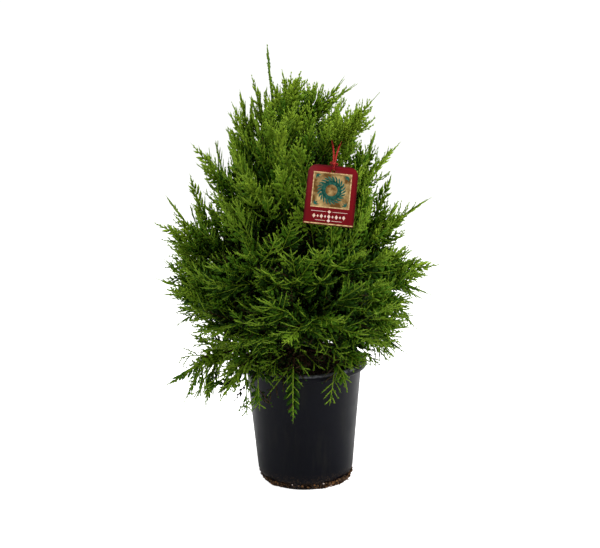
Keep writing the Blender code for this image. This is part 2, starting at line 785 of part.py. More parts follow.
def make_cord(place, collection, bits, material):
    """The cord: a ring through the card's hole and a loop over the stem, joined by a knot."""
    bpy.ops.mesh.primitive_uv_sphere_add(segments=8, ring_count=6, radius=KNOT_RADIUS)
    cord = bpy.context.object
    cord.name = cord.data.name = "tag_cord"
    cord.users_collection[0].objects.unlink(cord)
    collection.objects.link(cord)
    cord.data.materials.append(material)
    cord.location = place.knot()
    for name, line in (("ring", place.ring_line()), ("loop", place.loop_line())):
        tube(name, line, [CORD_RADIUS] * len(line), bits)
    boolean(cord, "UNION", bits)
    empty_out(bits)
    return cord


def main():
    clear_scene()
    plant = new_collection("potted_leyland_cypress")
    bits = new_collection("bits")
    cutters = new_collection("cutters")
    look = {name: new_material(name) for name in MATERIALS}

    make_pot(plant, cutters, look["pot"])
    make_soil(plant, look["soil"])
    make_trunk("trunk", 0.0, plant, look["bark"])
    trunk_cutter = make_trunk("trunk_cutter", TRUNK_GAP, cutters)
    trunk_cutter.hide_render = True
    trunk_cutter.display_type = "WIRE"

    plumes = all_plumes()
    place = TagPlace(next(plume for plume in plumes if plume.name == "shoulder_right"))
    limbs = [make_trunk("trunk_clearance", LIMB_CLEAR, cutters)]
    limbs += [make_bough(plume, plant, trunk_cutter, look["bark"]) for plume in plumes if plume.bare]
    space = Space(plumes, limbs, place)
    bpy.data.objects.remove(limbs[0])
    for plume in plumes:
        make_mass(plume, space, plant, bits, trunk_cutter, look["foliage"])

    make_tag(place, plant, look["tag"])
    make_cord(place, plant, bits, look["cord"])


main()
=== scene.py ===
import math

import bmesh
import bpy
import numpy as np
from mathutils import Matrix, Vector


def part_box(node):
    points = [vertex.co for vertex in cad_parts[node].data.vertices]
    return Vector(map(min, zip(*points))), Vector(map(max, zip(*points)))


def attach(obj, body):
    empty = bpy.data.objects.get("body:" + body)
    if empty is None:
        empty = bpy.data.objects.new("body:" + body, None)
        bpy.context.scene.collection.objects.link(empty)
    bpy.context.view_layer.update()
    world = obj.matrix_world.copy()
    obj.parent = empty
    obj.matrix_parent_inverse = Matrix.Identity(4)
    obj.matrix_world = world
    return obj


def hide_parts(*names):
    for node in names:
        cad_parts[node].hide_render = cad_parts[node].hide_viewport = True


# A potted Leyland cypress: nursery pot, soil, bark, foliage and a hang tag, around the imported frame.
# Metres, +Z up, origin under the middle of the pot. Degrees about the pot run from +X towards +Y.

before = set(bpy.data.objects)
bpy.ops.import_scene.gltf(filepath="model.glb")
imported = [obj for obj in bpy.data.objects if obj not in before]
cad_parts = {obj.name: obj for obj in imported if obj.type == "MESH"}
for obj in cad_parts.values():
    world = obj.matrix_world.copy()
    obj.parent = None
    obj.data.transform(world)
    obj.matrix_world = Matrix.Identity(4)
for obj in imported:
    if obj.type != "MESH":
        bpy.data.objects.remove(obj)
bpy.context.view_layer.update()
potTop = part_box("pot")[1].z
print("stage 1: frame loaded")


# Shared helpers

def deselectAll():
    bpy.ops.object.select_all(action="DESELECT")


def activate(item):
    deselectAll()
    item.select_set(True)
    bpy.context.view_layer.objects.active = item


def applyPlace(item):
    # puts the object at the origin and its place in its mesh
    activate(item)
    bpy.ops.object.transform_apply(location=True, rotation=True, scale=True)


def applyModifiers(item):
    activate(item)
    for step in list(item.modifiers):
        bpy.ops.object.modifier_apply(modifier=step.name)


def pick(item, kind, test):
    # in edit mode, selects the vertices or edges whose middle passes the test
    bpy.ops.mesh.select_mode(type=kind)
    bpy.ops.mesh.select_all(action="DESELECT")
    shape = bmesh.from_edit_mesh(item.data)
    for part in {"VERT": shape.verts, "EDGE": shape.edges}[kind]:
        corners = [part.co] if kind == "VERT" else [corner.co for corner in part.verts]
        if test(sum(corners, Vector()) / len(corners), corners):
            part.select_set(True)
    shape.select_flush_mode()
    bmesh.update_edit_mesh(item.data)


def facesOutwards():
    bpy.ops.mesh.select_all(action="SELECT")
    bpy.ops.mesh.normals_make_consistent(inside=False)


def turnedShape(name, sides, profile):
    # a filled circle, extruded and resized from ring to ring: radius and height of each
    deselectAll()
    radius, height = profile[0]
    bpy.ops.mesh.primitive_circle_add(vertices=sides, radius=radius, fill_type="NGON",
                                      location=(0, 0, height))
    item = bpy.context.object
    item.name = name
    applyPlace(item)
    bpy.ops.object.mode_set(mode="EDIT")
    bpy.ops.mesh.select_all(action="SELECT")
    for newRadius, newHeight in profile[1:]:
        bpy.ops.mesh.extrude_region_move(TRANSFORM_OT_translate={"value": (0, 0, newHeight - height)})
        bpy.ops.transform.resize(value=(newRadius / radius, newRadius / radius, 1),
                                 center_override=(0, 0, newHeight))
        radius, height = newRadius, newHeight
    facesOutwards()
    bpy.ops.object.mode_set(mode="OBJECT")
    return item


def roughen(item, size, strength, depth=2):
    # lumps pushed in and out of the surface, applied
    lumps = bpy.data.textures.new(item.name + "Lumps", "CLOUDS")
    lumps.noise_scale, lumps.noise_depth = size, depth
    push = item.modifiers.new("lumps", "DISPLACE")
    push.texture, push.texture_coords = lumps, "LOCAL"
    push.strength, push.mid_level = strength, 0.5
    applyModifiers(item)


def joined(name, items):
    deselectAll()
    for item in items:
        item.select_set(True)
    bpy.context.view_layer.objects.active = items[0]
    if len(items) > 1:
        bpy.ops.object.join()
    items[0].name = name
    return items[0]


def finished(item, material, slot, *nodes, angle):
    # smooth shading, one material, and its place in the frame
    activate(item)
    bpy.ops.object.shade_smooth_by_angle(angle=math.radians(angle))
    item.data.materials.clear()
    item.data.materials.append(material)
    ridesOn(item, slot, *nodes)
    return item


def plainMaterial(name, colour, roughness, gloss):
    made = bpy.data.materials.new(name)
    made.use_nodes = True
    shader = made.node_tree.nodes["Principled BSDF"]
    shader.inputs["Base Color"].default_value = (*colour, 1.0)
    shader.inputs["Roughness"].default_value = roughness
    shader.inputs["Specular IOR Level"].default_value = gloss
    made.diffuse_color = (*colour, 1.0)
    return made


def meshPiece(name, points, faces, materials, slots):
    # one joined mesh from arrays: points (n, 3), triangles (m, 3) and a material slot for each
    mesh = bpy.data.meshes.new(name)
    mesh.vertices.add(len(points))
    mesh.vertices.foreach_set("co", np.asarray(points, np.float32).ravel())
    mesh.loops.add(len(faces) * 3)
    mesh.loops.foreach_set("vertex_index", np.asarray(faces, np.int32).ravel())
    mesh.polygons.add(len(faces))
    mesh.polygons.foreach_set("loop_start", np.arange(0, len(faces) * 3, 3, dtype=np.int32))
    mesh.polygons.foreach_set("loop_total", np.full(len(faces), 3, np.int32))
    for material in materials:
        mesh.materials.append(material)
    mesh.polygons.foreach_set("material_index", np.asarray(slots, np.int32))
    mesh.update(calc_edges=True)
    mesh.validate()
    item = bpy.data.objects.new(name, mesh)
    bpy.context.scene.collection.objects.link(item)
    return item


def ridesOn(item, slot, *nodes):
    # the piece's place in the frame: all of it stands still on the root
    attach(item, "root")
    if nodes:
        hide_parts(*nodes)


def unit(vectors):
    return vectors / np.maximum(np.linalg.norm(vectors, axis=-1, keepdims=True), 1e-9)


# Shared finishes

def feedSocket(tree, socket, value):
    # links another node's output, or sets a plain value; a colour is given without its alpha
    if isinstance(value, bpy.types.NodeSocket):
        tree.links.new(value, socket)
    else:
        socket.default_value = (*value, 1.0) if socket.type == "RGBA" else value


def addNode(tree, kind, settings=None, **values):
    made = tree.nodes.new(kind)
    for name, value in (settings or {}).items():
        setattr(made, name, value)
    for name, value in values.items():
        feedSocket(tree, made.inputs[name.replace("_", " ")], value)
    return made


def mixColours(tree, mask, colourA, colourB):
    made = addNode(tree, "ShaderNodeMix", {"data_type": "RGBA"})
    for number, value in ((0, mask), (6, colourA), (7, colourB)):
        feedSocket(tree, made.inputs[number], value)
    return made.outputs[2]


def newGroup(name, inputs, outputs):
    tree = bpy.data.node_groups.new(name, "ShaderNodeTree")
    for direction, sockets in (("INPUT", inputs), ("OUTPUT", outputs)):
        for label, kind in sockets:
            tree.interface.new_socket(name=label, in_out=direction, socket_type=f"NodeSocket{kind}")
    return tree, tree.nodes.new("NodeGroupInput").outputs, tree.nodes.new("NodeGroupOutput").inputs


def makeMottle():
    # two colours in soft patches, with a mask for them
    tree, given, result = newGroup(
        "mottle", (("Vector", "Vector"), ("Scale", "Float"), ("Low", "Float"), ("High", "Float"),
                   ("ColorA", "Color"), ("ColorB", "Color")), (("Color", "Color"), ("Mask", "Float")))
    noise = addNode(tree, "ShaderNodeTexNoise", Vector=given["Vector"], Scale=given["Scale"],
                    Detail=4.0, Roughness=0.6)
    mask = addNode(tree, "ShaderNodeMapRange", Value=noise.outputs["Fac"],
                   From_Min=given["Low"], From_Max=given["High"]).outputs["Result"]
    feedSocket(tree, result["Color"], mixColours(tree, mask, given["ColorA"], given["ColorB"]))
    feedSocket(tree, result["Mask"], mask)
    return tree


def makeGrain():
    # fine pits and bumps, as a normal
    tree, given, result = newGroup(
        "grain", (("Vector", "Vector"), ("Scale", "Float"), ("Strength", "Float"), ("Depth", "Float")),
        (("Normal", "Vector"),))
    noise = addNode(tree, "ShaderNodeTexNoise", Vector=given["Vector"], Scale=given["Scale"],
                    Detail=3.0, Roughness=0.55)
    bump = addNode(tree, "ShaderNodeBump", Height=noise.outputs["Fac"], Strength=given["Strength"],
                   Distance=given["Depth"])
    feedSocket(tree, result["Normal"], bump.outputs["Normal"])
    return tree


mottle, grain = makeMottle(), makeGrain()


class Finish:
    # a Principled material with its Object coordinates and the shared groups at hand
    def __init__(self, name, colour, roughness, gloss):
        self.material = plainMaterial(name, colour, roughness, gloss)
        self.tree = self.material.node_tree
        self.place = self.add("ShaderNodeTexCoord").outputs["Object"]

    def add(self, kind, settings=None, **values):
        return addNode(self.tree, kind, settings, **values)

    def height(self):
        return self.add("ShaderNodeSeparateXYZ", Vector=self.place).outputs["Z"]

    def stretched(self, scale):
        return self.add("ShaderNodeMapping", Vector=self.place, Scale=scale).outputs["Vector"]

    def mottle(self, scale, low, high, colourA, colourB, vector=None):
        # the patches' colour, and their mask
        made = self.add("ShaderNodeGroup", {"node_tree": mottle}, Vector=vector or self.place, Scale=scale,
                        Low=low, High=high, ColorA=colourA, ColorB=colourB)
        return made.outputs["Color"], made.outputs["Mask"]

    def ramp(self, value, start, end, low=0.0, high=1.0):
        # runs from low to high as the value runs from start to end
        return self.add("ShaderNodeMapRange", Value=value, From_Min=start, From_Max=end,
                        To_Min=low, To_Max=high).outputs["Result"]

    def calculate(self, operation, *values):
        made = self.add("ShaderNodeMath", {"operation": operation})
        for socket, value in zip(made.inputs, values):
            feedSocket(self.tree, socket, value)
        return made.outputs["Value"]

    def mixed(self, mask, colourA, colourB):
        return mixColours(self.tree, mask, colourA, colourB)

    def cover(self, colour, mask, roughness, relief, vector=None):
        # the colour, a roughness between two by the mask, and relief by its scale, strength and depth
        scale, strength, depth = relief
        bumps = self.add("ShaderNodeGroup", {"node_tree": grain}, Vector=vector or self.place, Scale=scale,
                         Strength=strength, Depth=depth)
        shader = self.tree.nodes["Principled BSDF"]
        feedSocket(self.tree, shader.inputs["Base Color"], colour)
        feedSocket(self.tree, shader.inputs["Roughness"], self.ramp(mask, 0.0, 1.0, *roughness))
        feedSocket(self.tree, shader.inputs["Normal"], bumps.outputs["Normal"])
        return self.material


# The lines of the plant: the source's rule

plant = {
    "soilTop": 0.1490,
    "trunkTop": 0.500,
    "trunkLean": 0.036,  # how far the leader stands left of the root
    "leanPower": 0.60,
    "lipRadius": 0.0825,
    "lipOver": 0.172,  # height at which hanging boughs pass over the pot's lip
    "lipFactor": 1.1,  # those boughs peak this far out, in lip radii
    "peakShares": (0.5, 0.85),  # where along its line a bough peaks, at the least and the most
    "stagger": 0.009,  # up or down, from one root of a tier to the next
    "bareShare": 0.30,  # of a bough's line, before its foliage starts
    "leafyFrom": 0.06,  # share of the other lines
    "leaderTip": (-0.0375, 0.0, 0.560),
    "leaderRoot": 0.020,  # below the trunk's top
    "crownRadius": 0.187,
    "crownTop": 0.534,
    "crownShoulder": 0.345,
    "crownTaper": 0.52,
    "lance": 0.50,  # half width of a plume to the distance from its tip
    "topLance": 0.30,  # and of those round the leader
    "seed": 25,
}

# tier: height of its roots, arch, length of side shoots, angle of shoots, bare boughs, upward bend,
# then (place, direction, radius and height of the tip) for each mass
tiers = {
    "skirt": (0.176, 0.050, 0.098, 44, True, -0.10, (
        ("left", 180, 0.185, 0.118), ("front_left", 226, 0.150, 0.132), ("front", 262, 0.104, 0.106),
        ("front_right", 300, 0.106, 0.140), ("right", 350, 0.136, 0.168), ("back_right", 50, 0.152, 0.150),
        ("back_left", 115, 0.156, 0.142))),
    "low": (0.204, 0.026, 0.128, 43, True, 0.10, (
        ("left", 173, 0.186, 0.242), ("front_left", 224, 0.162, 0.216), ("front", 276, 0.142, 0.232),
        ("front_right", 326, 0.152, 0.222), ("right", 10, 0.173, 0.277), ("back_right", 66, 0.160, 0.236),
        ("back_left", 120, 0.164, 0.228))),
    "middle": (0.236, 0.014, 0.122, 42, False, 0.28, (
        ("left", 184, 0.186, 0.343), ("front_left", 243, 0.152, 0.322), ("front_right", 300, 0.142, 0.318),
        ("right", 355, 0.164, 0.369), ("back_right", 58, 0.160, 0.345), ("back_left", 124, 0.166, 0.332))),
    "high": (0.292, 0.004, 0.108, 38, False, 0.40, (
        ("left", 178, 0.136, 0.440), ("front_left", 238, 0.124, 0.412), ("front_right", 288, 0.112, 0.398),
        ("right", 2, 0.128, 0.436), ("back", 80, 0.124, 0.425))),
    "shoulder": (0.362, 0.000, 0.090, 34, False, 0.42, (
        ("left", 187, 0.084, 0.490), ("front_left", 244, 0.078, 0.470), ("right", 317, 0.132, 0.503),
        ("back_right", 50, 0.090, 0.490), ("back_left", 122, 0.084, 0.482))),
    "top": (0.425, -0.008, 0.060, 24, False, 0.35, (
        ("left", 178, 0.058, 0.522), ("front", 278, 0.026, 0.524), ("right", 4, 0.060, 0.517),
        ("back", 88, 0.036, 0.510))),
}

# what sets single masses apart from their tier; two short ones in front leave lip and soil in sight
special = {
    "skirt_front": {"shoot": 0.060, "stems": 6, "gap": 0.0043, "broad": 1.25, "branchletAngle": 42},
    "skirt_front_right": {"shoot": 0.054, "stems": 6, "gap": 0.0043, "broad": 1.25},
    "skirt_left": {"shoot": 0.068, "lift": -0.40, "stems": 12, "gap": 0.0038, "broad": 1.35},
    "shoulder_right": {"shoot": 0.100, "gap": 0.0034, "broad": 1.3},
    "leader": {"shoot": 0.046, "angle": 15, "lift": 0.0, "start": 0.05, "least": 0.009, "lance": 0.20,
               "branchletAngle": 20, "longest": 0.0075, "broad": 1.9, "gap": 0.0028, "darker": 2,
               "brown": 0.0},
}


def trunkAxis(height):
    share = max(0.0, (height - plant["soilTop"]) / (plant["leaderTip"][2] - plant["soilTop"]))
    return Vector((-plant["trunkLean"] * share ** plant["leanPower"], 0.0, height))


def crownReach(heights):
    # how far out foliage grows at a height
    return plant["crownRadius"] - plant["crownTaper"] * np.maximum(0.0, heights - plant["crownShoulder"])


# how far out the crown is closed, at each height: on the left, then on the right
closedCrown = (
    (0.101, 0.030, 0.030), (0.108, 0.110, 0.050), (0.117, 0.160, 0.062), (0.132, 0.165, 0.080),
    (0.146, 0.130, 0.090), (0.158, 0.102, 0.110), (0.170, 0.112, 0.128), (0.193, 0.132, 0.136),
    (0.215, 0.160, 0.144), (0.237, 0.176, 0.154), (0.258, 0.177, 0.163), (0.279, 0.179, 0.166),
    (0.299, 0.174, 0.144), (0.320, 0.172, 0.138), (0.340, 0.166, 0.136), (0.360, 0.145, 0.134),
    (0.380, 0.130, 0.118), (0.400, 0.131, 0.117), (0.420, 0.121, 0.116), (0.440, 0.114, 0.108),
    (0.460, 0.092, 0.088), (0.480, 0.086, 0.086), (0.498, 0.060, 0.060), (0.512, 0.030, 0.028),
    (0.526, 0.008, 0.008))


def closedReach(points):
    heights, left, right = np.array(closedCrown).T
    x, y, z = points.T
    share = 0.5 + 0.5 * x / np.maximum(np.hypot(x, y), 1e-6)
    return np.interp(z, heights, left) * (1 - share) + np.interp(z, heights, right) * share


def curveShares(share):
    # the weights of a line's root, of the point that pulls it and of its tip
    return (1 - share) ** 2, 2 * share * (1 - share), share**2


def archedControl(root, tip, arch):
    # the point that pulls a line; hanging boughs are pulled up until they pass over the lip
    hangs = tip.z < plant["lipOver"]
    least, most = plant["peakShares"]
    out = least
    if hangs:
        out = min(max(plant["lipFactor"] * plant["lipRadius"] / math.hypot(tip.x, tip.y), least), most)
    control = root.lerp(tip, out) + Vector((0, 0, arch))
    if hangs:
        for step in range(1, 100):
            a, b, c = curveShares(step / 100)
            over = root * a + control * b + tip * c
            if math.hypot(over.x, over.y) > plant["lipRadius"]:
                control.z = max(control.z, (plant["lipOver"] - a * root.z - c * tip.z) / b)
                break
    return control


def allPlumes():
    # the main line of each mass, with its tier's values and its own
    made = []
    for tier, (root, arch, shoot, angle, bare, lift, rows) in tiers.items():
        for row, (place, direction, radius, height) in enumerate(rows):
            turn = math.radians(direction)
            tip = Vector((radius * math.cos(turn), radius * math.sin(turn), height))
            start = trunkAxis(root + plant["stagger"] * (2 * row % 3 - 1))
            made.append({
                "name": f"{tier}_{place}", "tier": tier, "bare": bare,
                "line": (start, archedControl(start, tip, arch), tip),
                "shoot": shoot, "angle": angle, "lift": lift,
                "start": plant["bareShare"] if bare else plant["leafyFrom"],
                "lance": plant["topLance"] if tier == "top" else plant["lance"],
                "top": max(plant["crownTop"], tip.z)})
    start, tip = trunkAxis(plant["trunkTop"] - plant["leaderRoot"]), Vector(plant["leaderTip"])
    made.append({"name": "leader", "tier": "top", "bare": False, "line": (start, start.lerp(tip, 0.5), tip),
                 "top": tip.z})
    for index, plume in enumerate(made):
        plume.update(special.get(plume["name"], {}), index=index)
    return made


def linePoint(line, share):
    a, b, c = curveShares(share)
    return line[0] * a + line[1] * b + line[2] * c


def lineTangent(line, share):
    return ((line[1] - line[0]) * (1 - share) + (line[2] - line[1]) * share).normalized()


def lineLength(line, steps=16):
    points = [linePoint(line, i / steps) for i in range(steps + 1)]
    return sum((b - a).length for a, b in zip(points, points[1:]))


plumes = allPlumes()


# Foliage

foliage = {
    "colours": {  # painted light and shade: lit and shaded copies of one green, from the most lit to the deepest in shade
        "greenMostLit": (0.212, 0.325, 0.020),
        "greenLit": (0.114, 0.210, 0.010),
        "greenHalfShade": (0.051, 0.128, 0.005),
        "greenShaded": (0.016, 0.050, 0.002),
        "greenMostShaded": (0.005, 0.015, 0.001),
    },
    "twigBrown": (0.038, 0.020, 0.008),
    "twigGreen": (0.160, 0.260, 0.016),
    "roughness": 0.55,
    "twigRoughness": 0.75,
    "gloss": 0.06,
    "twigGloss": 0.1,
    "mainShare": 0.52,  # of the tier's side shoots, that a main stem's sprays are long
    "stems": {  # side stems on each main stem
        "skirt": 16, "low": 16, "middle": 13, "high": 12, "shoulder": 9, "top": 5},
    "innerStart": 0.12,  # where the first of them leaves a bare bough
    "innerEnd": 0.66,  # and the last, on any stem
    "sideSpray": 0.046,  # length of the sprays on a side stem of 0.1 m
    "longSpray": 0.0483,  # and of those on the long side stems
    "lastSpray": 0.965,  # share of its stem at which the last one stands
    "fullUntil": 0.55,  # from there on they grow shorter
    "leastSpray": 0.011,
    "roll": 24,  # how far sprays turn out of their stem's plane
    "endRoll": 75,  # the same, where a stem points away from the trunk
    "faceLift": 0.3,  # how far sprays face up, to 1 outwards
    "faceTurn": 28,
    "branchletGap": 0.0041,  # along a side shoot
    "branchletEnds": (0.004, 0.002),  # bare lengths at its foot and tip
    "branchletShare": 0.46,  # of the shoot that is left, that a branchlet is long
    "leastBranchlet": 0.0027,
    "longestBranchlet": 0.0155,
    "branchletAngle": 38,
    "footShare": 0.45,  # of the full length, for branchlets at a shoot's foot
    "fullFrom": 0.0121,  # up to where they have it all
    "curvedFrom": 0.0085,  # the shorter ones are straight
    "curl": 0.16,  # how far a branchlet turns along its shoot
    "tipletGap": 0.0040,  # along a branchlet
    "firstTiplet": 0.0024,
    "bareBranchlet": 0.0035,  # without any
    "tipletAngle": 34,
    "tipletShare": 0.34,
    "leastTiplet": 0.0022,
    "longestTiplet": 0.0066,
    "branchletWidth": 0.0019,  # half widths
    "tipletWidth": 0.0014,
    "wideFrom": (0.62, 0.88),  # shares of the way out, between which the inner sprays turn narrow
    "innerWidth": 1.6,  # times the widths, deep in the crown
    "hangingWidth": 1.4,  # the same, on the lowest boughs
    "fullWidth": 0.009,  # length of a branchlet of the full width
    "widthShares": (0.52, 1.1),
    "flatness": 0.55,
    "keel": 0.35,  # how far the lower edges lie below the middle
    "bareTip": 0.007,  # last stretch of a shoot, with scales only
    "litFrom": 0.62,  # share of a shoot from which it is one shade lighter: a painted highlight on its outer part
    "shadeAt": 0.7,  # where along a spray its shade is picked
    "shootRadii": (0.0008, 0.0007, 0.0008, 0.0001),  # at its foot, half way, near its tip and there
    "shootTip": 0.003,
    "shootStep": 0.009,
    "stemTip": 0.0003,
    "stemSteps": 12,
    "stemEnd": 0.97,  # share of its line that a stem is drawn
    "endSpray": 0.06,  # length of the spray that ends a stem
    "stemBend": 0.45,  # how far along a long side stem it is pulled to its main stem
    "sideStart": 0.08,  # share of a side stem without sprays, and of a long one
    "longStart": 0.06,
    "tries": 8,  # how often a side stem may be made shorter, to free its tip
    "shorter": 0.88,  # times, at each try
    "shrink": 0.9,  # power by which sprays grow short towards a stem's end
    "sideLift": 0.8,  # of the mass's upward bend, for its side stems
}

# what chance adds, by a spread or between two values: degrees, lengths, or shares of the plain value
chance = {
    "lift": (-0.05, 0.08),
    "spot": 0.0004,
    "branchletAngle": 5,
    "branchletTilt": (0.04, 0.10),  # mean and spread, out of its spray's plane
    "branchletSize": (0.78, 1.1),
    "tipletAngle": 6,
    "tipletTilt": 0.10,
    "tipletSize": (0.8, 1.1),
    "sprayPlace": 0.3,
    "sprayAngle": 7,
    "spraySize": (0.72, 1.0),
    "endSprayRoll": 50,
    "stemAngle": 6,
    "stemRoll": (10, 75),
    "stemSize": (0.80, 1.02),
}

# from one spray to the next, the stem's radius, how flat its tip's sprays lie, and share with brown bark
stemKinds = {
    "main": (0.0058, 0.0016, 0.65, 0.45),
    "side": (0.0052, 0.0010, 0.80, 0.10),
    "long": (0.0052, 0.0012, 0.70, 0.15),
}


def crossAxes(roots, tips, ups):
    # across each strand, in its flat plane and out of it
    along = unit(tips - roots)
    sides = unit(np.cross(along, ups))
    return sides, np.cross(sides, along)


def ringAt(middle, sides, faces, width):
    # the three corners of a strand's cross section
    low = faces * width * foliage["keel"]
    return [middle + sides * width - low, middle - sides * width - low,
            middle + faces * width * foliage["flatness"]]


def strands(corners, order):
    corners = np.stack(corners, axis=1)
    count = corners.shape[1]
    triangles = np.array(order)[None] + count * np.arange(len(corners))[:, None, None]
    return corners.reshape(-1, 3), triangles.reshape(-1, 3)


def spindles(roots, tips, ups, widths, belly=0.36):
    # pointed three-sided branchlets, six triangles each
    middle = roots + (tips - roots) * belly
    ring = ringAt(middle, *crossAxes(roots, tips, ups), widths[:, None])
    return strands([roots, *ring, tips], [(0, 1, 3), (0, 3, 2), (0, 2, 1), (4, 3, 1), (4, 2, 3), (4, 1, 2)])


def reeds(roots, bends, tips, ups, widths):
    # curved pointed branchlets with two rings, twelve triangles each
    sides, faces = crossAxes(roots, tips, ups)
    rings = []
    for share, wide in ((0.26, 0.92), (0.70, 0.86)):
        a, b, c = curveShares(share)
        rings += ringAt(roots * a + bends * b + tips * c, sides, faces, widths[:, None] * wide)
    return strands([roots, *rings, tips], [
        (0, 1, 3), (0, 3, 2), (0, 2, 1), (1, 4, 3), (4, 6, 3), (3, 6, 2), (6, 5, 2), (2, 5, 1), (5, 4, 1),
        (7, 6, 4), (7, 5, 6), (7, 4, 5)])


def barbs(roots, tips, ups, widths):
    # pointed scales with a three-sided foot, four triangles each
    ring = ringAt(roots, *crossAxes(roots, tips, ups), widths[:, None])
    return strands([*ring, tips], [(0, 2, 1), (3, 2, 0), (3, 1, 2), (3, 0, 1)])


class Bundle:
    # triangles of one kind, gathered with their material slots
    def __init__(self):
        self.points, self.faces, self.slots, self.count = [], [], [], 0

    def add(self, points, faces, slots):
        self.points.append(points)
        self.faces.append(faces + self.count)
        self.slots.append(np.repeat(slots, len(faces) // len(slots)))
        self.count += len(points)

    def piece(self, name, materials):
        return meshPiece(name, np.concatenate(self.points), np.concatenate(self.faces), materials,
                         np.concatenate(self.slots))


def tubeThrough(bundle, points, radii, sides, slots):
    # a tapering tube of triangles through the points, with a material slot for each stretch
    points, radii = np.asarray(points, float), np.asarray(radii, float)
    along = unit(np.gradient(points, axis=0))
    across = unit(np.cross(along, np.array([0.31, 0.22, 0.93])))
    over = np.cross(across, along)
    turns = 2 * np.pi * np.arange(sides) / sides
    rings = points[:, None] + radii[:, None, None] * (
        across[:, None] * np.cos(turns)[None, :, None] + over[:, None] * np.sin(turns)[None, :, None])
    corners = rings.reshape(-1, 3)
    faces = []
    for ring in range(len(points) - 1):
        for side in range(sides):
            a, b = ring * sides + side, ring * sides + (side + 1) % sides
            faces += [(a, b, a + sides), (b, b + sides, a + sides)]
    kinds = np.repeat(np.broadcast_to(slots, len(points) - 1), 2 * sides)
    last = (len(points) - 1) * sides
    faces += [(0, side + 1, side) for side in range(1, sides - 1)]
    faces += [(last, last + side, last + side + 1) for side in range(1, sides - 1)]
    kinds = np.concatenate([kinds, np.full(sides - 2, kinds[0]), np.full(sides - 2, kinds[-1])])
    bundle.add(corners, np.array(faces), kinds)


# What foliage keeps clear of

tagPlace = {
    "hole": (0.0375, -0.1190, 0.4130),
    "roll": 7, "lean": 20,
    "width": 0.057, "height": 0.069, "thickness": 0.0010,
    "topRound": 0.0105, "bottomRound": 0.0015,
    "holeRadius": 0.0022, "holeDown": 0.0058,
}


def tagFrame():
    turn = Matrix.Rotation(math.radians(-tagPlace["lean"]), 4, "X") @ Matrix.Rotation(
        math.radians(tagPlace["roll"]), 4, "Y")
    right, up, front = (turn @ Vector(axis) for axis in ((1, 0, 0), (0, 0, 1), (0, -1, 0)))
    middle = Vector(tagPlace["hole"]) + up * (tagPlace["holeDown"] - tagPlace["height"] / 2)
    return Matrix.Translation(middle) @ Matrix((right, up, front)).transposed().to_4x4()


# the room that foliage leaves
room = {
    "pot": 0.0025,
    "floor": 0.002,
    "crown": 0.004,  # it may reach this far past the crown
    "tip": (0.0015, 0.0025),  # half width of a plume at its tip, at the least, and added to its lance
    "windowSides": (-0.012, 0.060),  # the window on the lip and the soil
    "windowFront": -0.045,
    "windowTop": 0.168,
    "windowSlope": (0.3, 0.08),  # it rises towards the viewer, from this distance
    "tag": 0.0015,
    "tagBack": 0.002,
    "tagView": 0.09,
    "cord": (0.0015, 0.0065),  # middle and half width of the strip in front of the cord
    "cordTop": 0.036,  # above the tag
    "cordBack": 0.006,
}


def blocked(points, plume):
    # which points lie in the pot, below the floor, past the crown, or before the lip's window, tag or cord
    radius = np.hypot(points[:, 0], points[:, 1])
    x, y, z = points.T
    shut = (radius < plant["lipRadius"] + room["pot"]) & (z < potTop + room["pot"])
    shut |= (z < room["floor"]) | (z > plume["top"]) | (radius > crownReach(z) + room["crown"])
    if plume["line"][2].z > plant["lipOver"]:
        left, right = room["windowSides"]
        slope, before = room["windowSlope"]
        shut |= (y < room["windowFront"]) & (x > left) & (x < right) & (
            z < room["windowTop"] + slope * np.maximum(0.0, -y - before))
    tip, ahead = np.array(plume["line"][2]), np.array(lineTangent(plume["line"], 1.0))
    before = (tip - points) @ ahead
    aside = np.linalg.norm(tip - points - before[:, None] * ahead, axis=1)
    least, added = room["tip"]
    shut |= (aside > np.maximum(least, plume["lance"] * before + added)) & (
        (radius > closedReach(points)) | (plume["name"] == "leader"))
    inverse = np.array(tagFrame().inverted())
    across, up, out = (points @ inverse[:3, :3].T + inverse[:3, 3]).T
    wide, tall = tagPlace["width"] / 2, tagPlace["height"] / 2
    shut |= (abs(across) < wide + room["tag"]) & (abs(up) < tall + room["tag"]) & (
        out > -room["tagBack"]) & (out < room["tagView"])
    middle, half = room["cord"]
    shut |= (abs(across - middle) < half) & (up >= tall) & (up < tall + room["cordTop"]) & (
        out > -room["cordBack"]) & (out < room["tagView"])
    return shut


def growTiplets(leaves, plume, draw, broad, owners, shades):
    # scales left and right of each branchlet that is long enough
    look = foliage
    starts, bends, ends, over, sizes = owners
    counts = np.maximum(0, ((sizes - look["bareBranchlet"]) / look["tipletGap"]).astype(int))
    owner = np.repeat(np.arange(len(starts)), counts)
    if len(owner) == 0:
        return
    number = np.concatenate([np.arange(count) for count in counts])
    at = (look["firstTiplet"] + number * look["tipletGap"]) / sizes[owner]
    a, b, c = (share[:, None] for share in curveShares(at))
    base = starts[owner] * a + bends[owner] * b + ends[owner] * c
    hand = np.where((number + owner) % 2, 1.0, -1.0)[:, None]
    turn = np.radians(look["tipletAngle"] + draw.normal(0, chance["tipletAngle"], len(owner)))[:, None]
    main = unit(ends[owner] - bends[owner])
    across = unit(np.cross(main, over[owner]))
    heading = unit(main * np.cos(turn) + across * hand * np.sin(turn)
                   + over[owner] * draw.normal(0, chance["tipletTilt"], (len(owner), 1)))
    reach = np.minimum(look["longestTiplet"],
                       look["tipletShare"] * sizes[owner] * (1 - at) + look["leastTiplet"])
    tops = base + heading * (reach * draw.uniform(*chance["tipletSize"], len(owner)))[:, None]
    keep = ~blocked(tops, plume)
    if keep.any():
        widths = np.full(keep.sum(), broad * look["tipletWidth"])
        leaves.add(*barbs(base[keep], tops[keep], over[owner][keep], widths), shades[owner][keep])


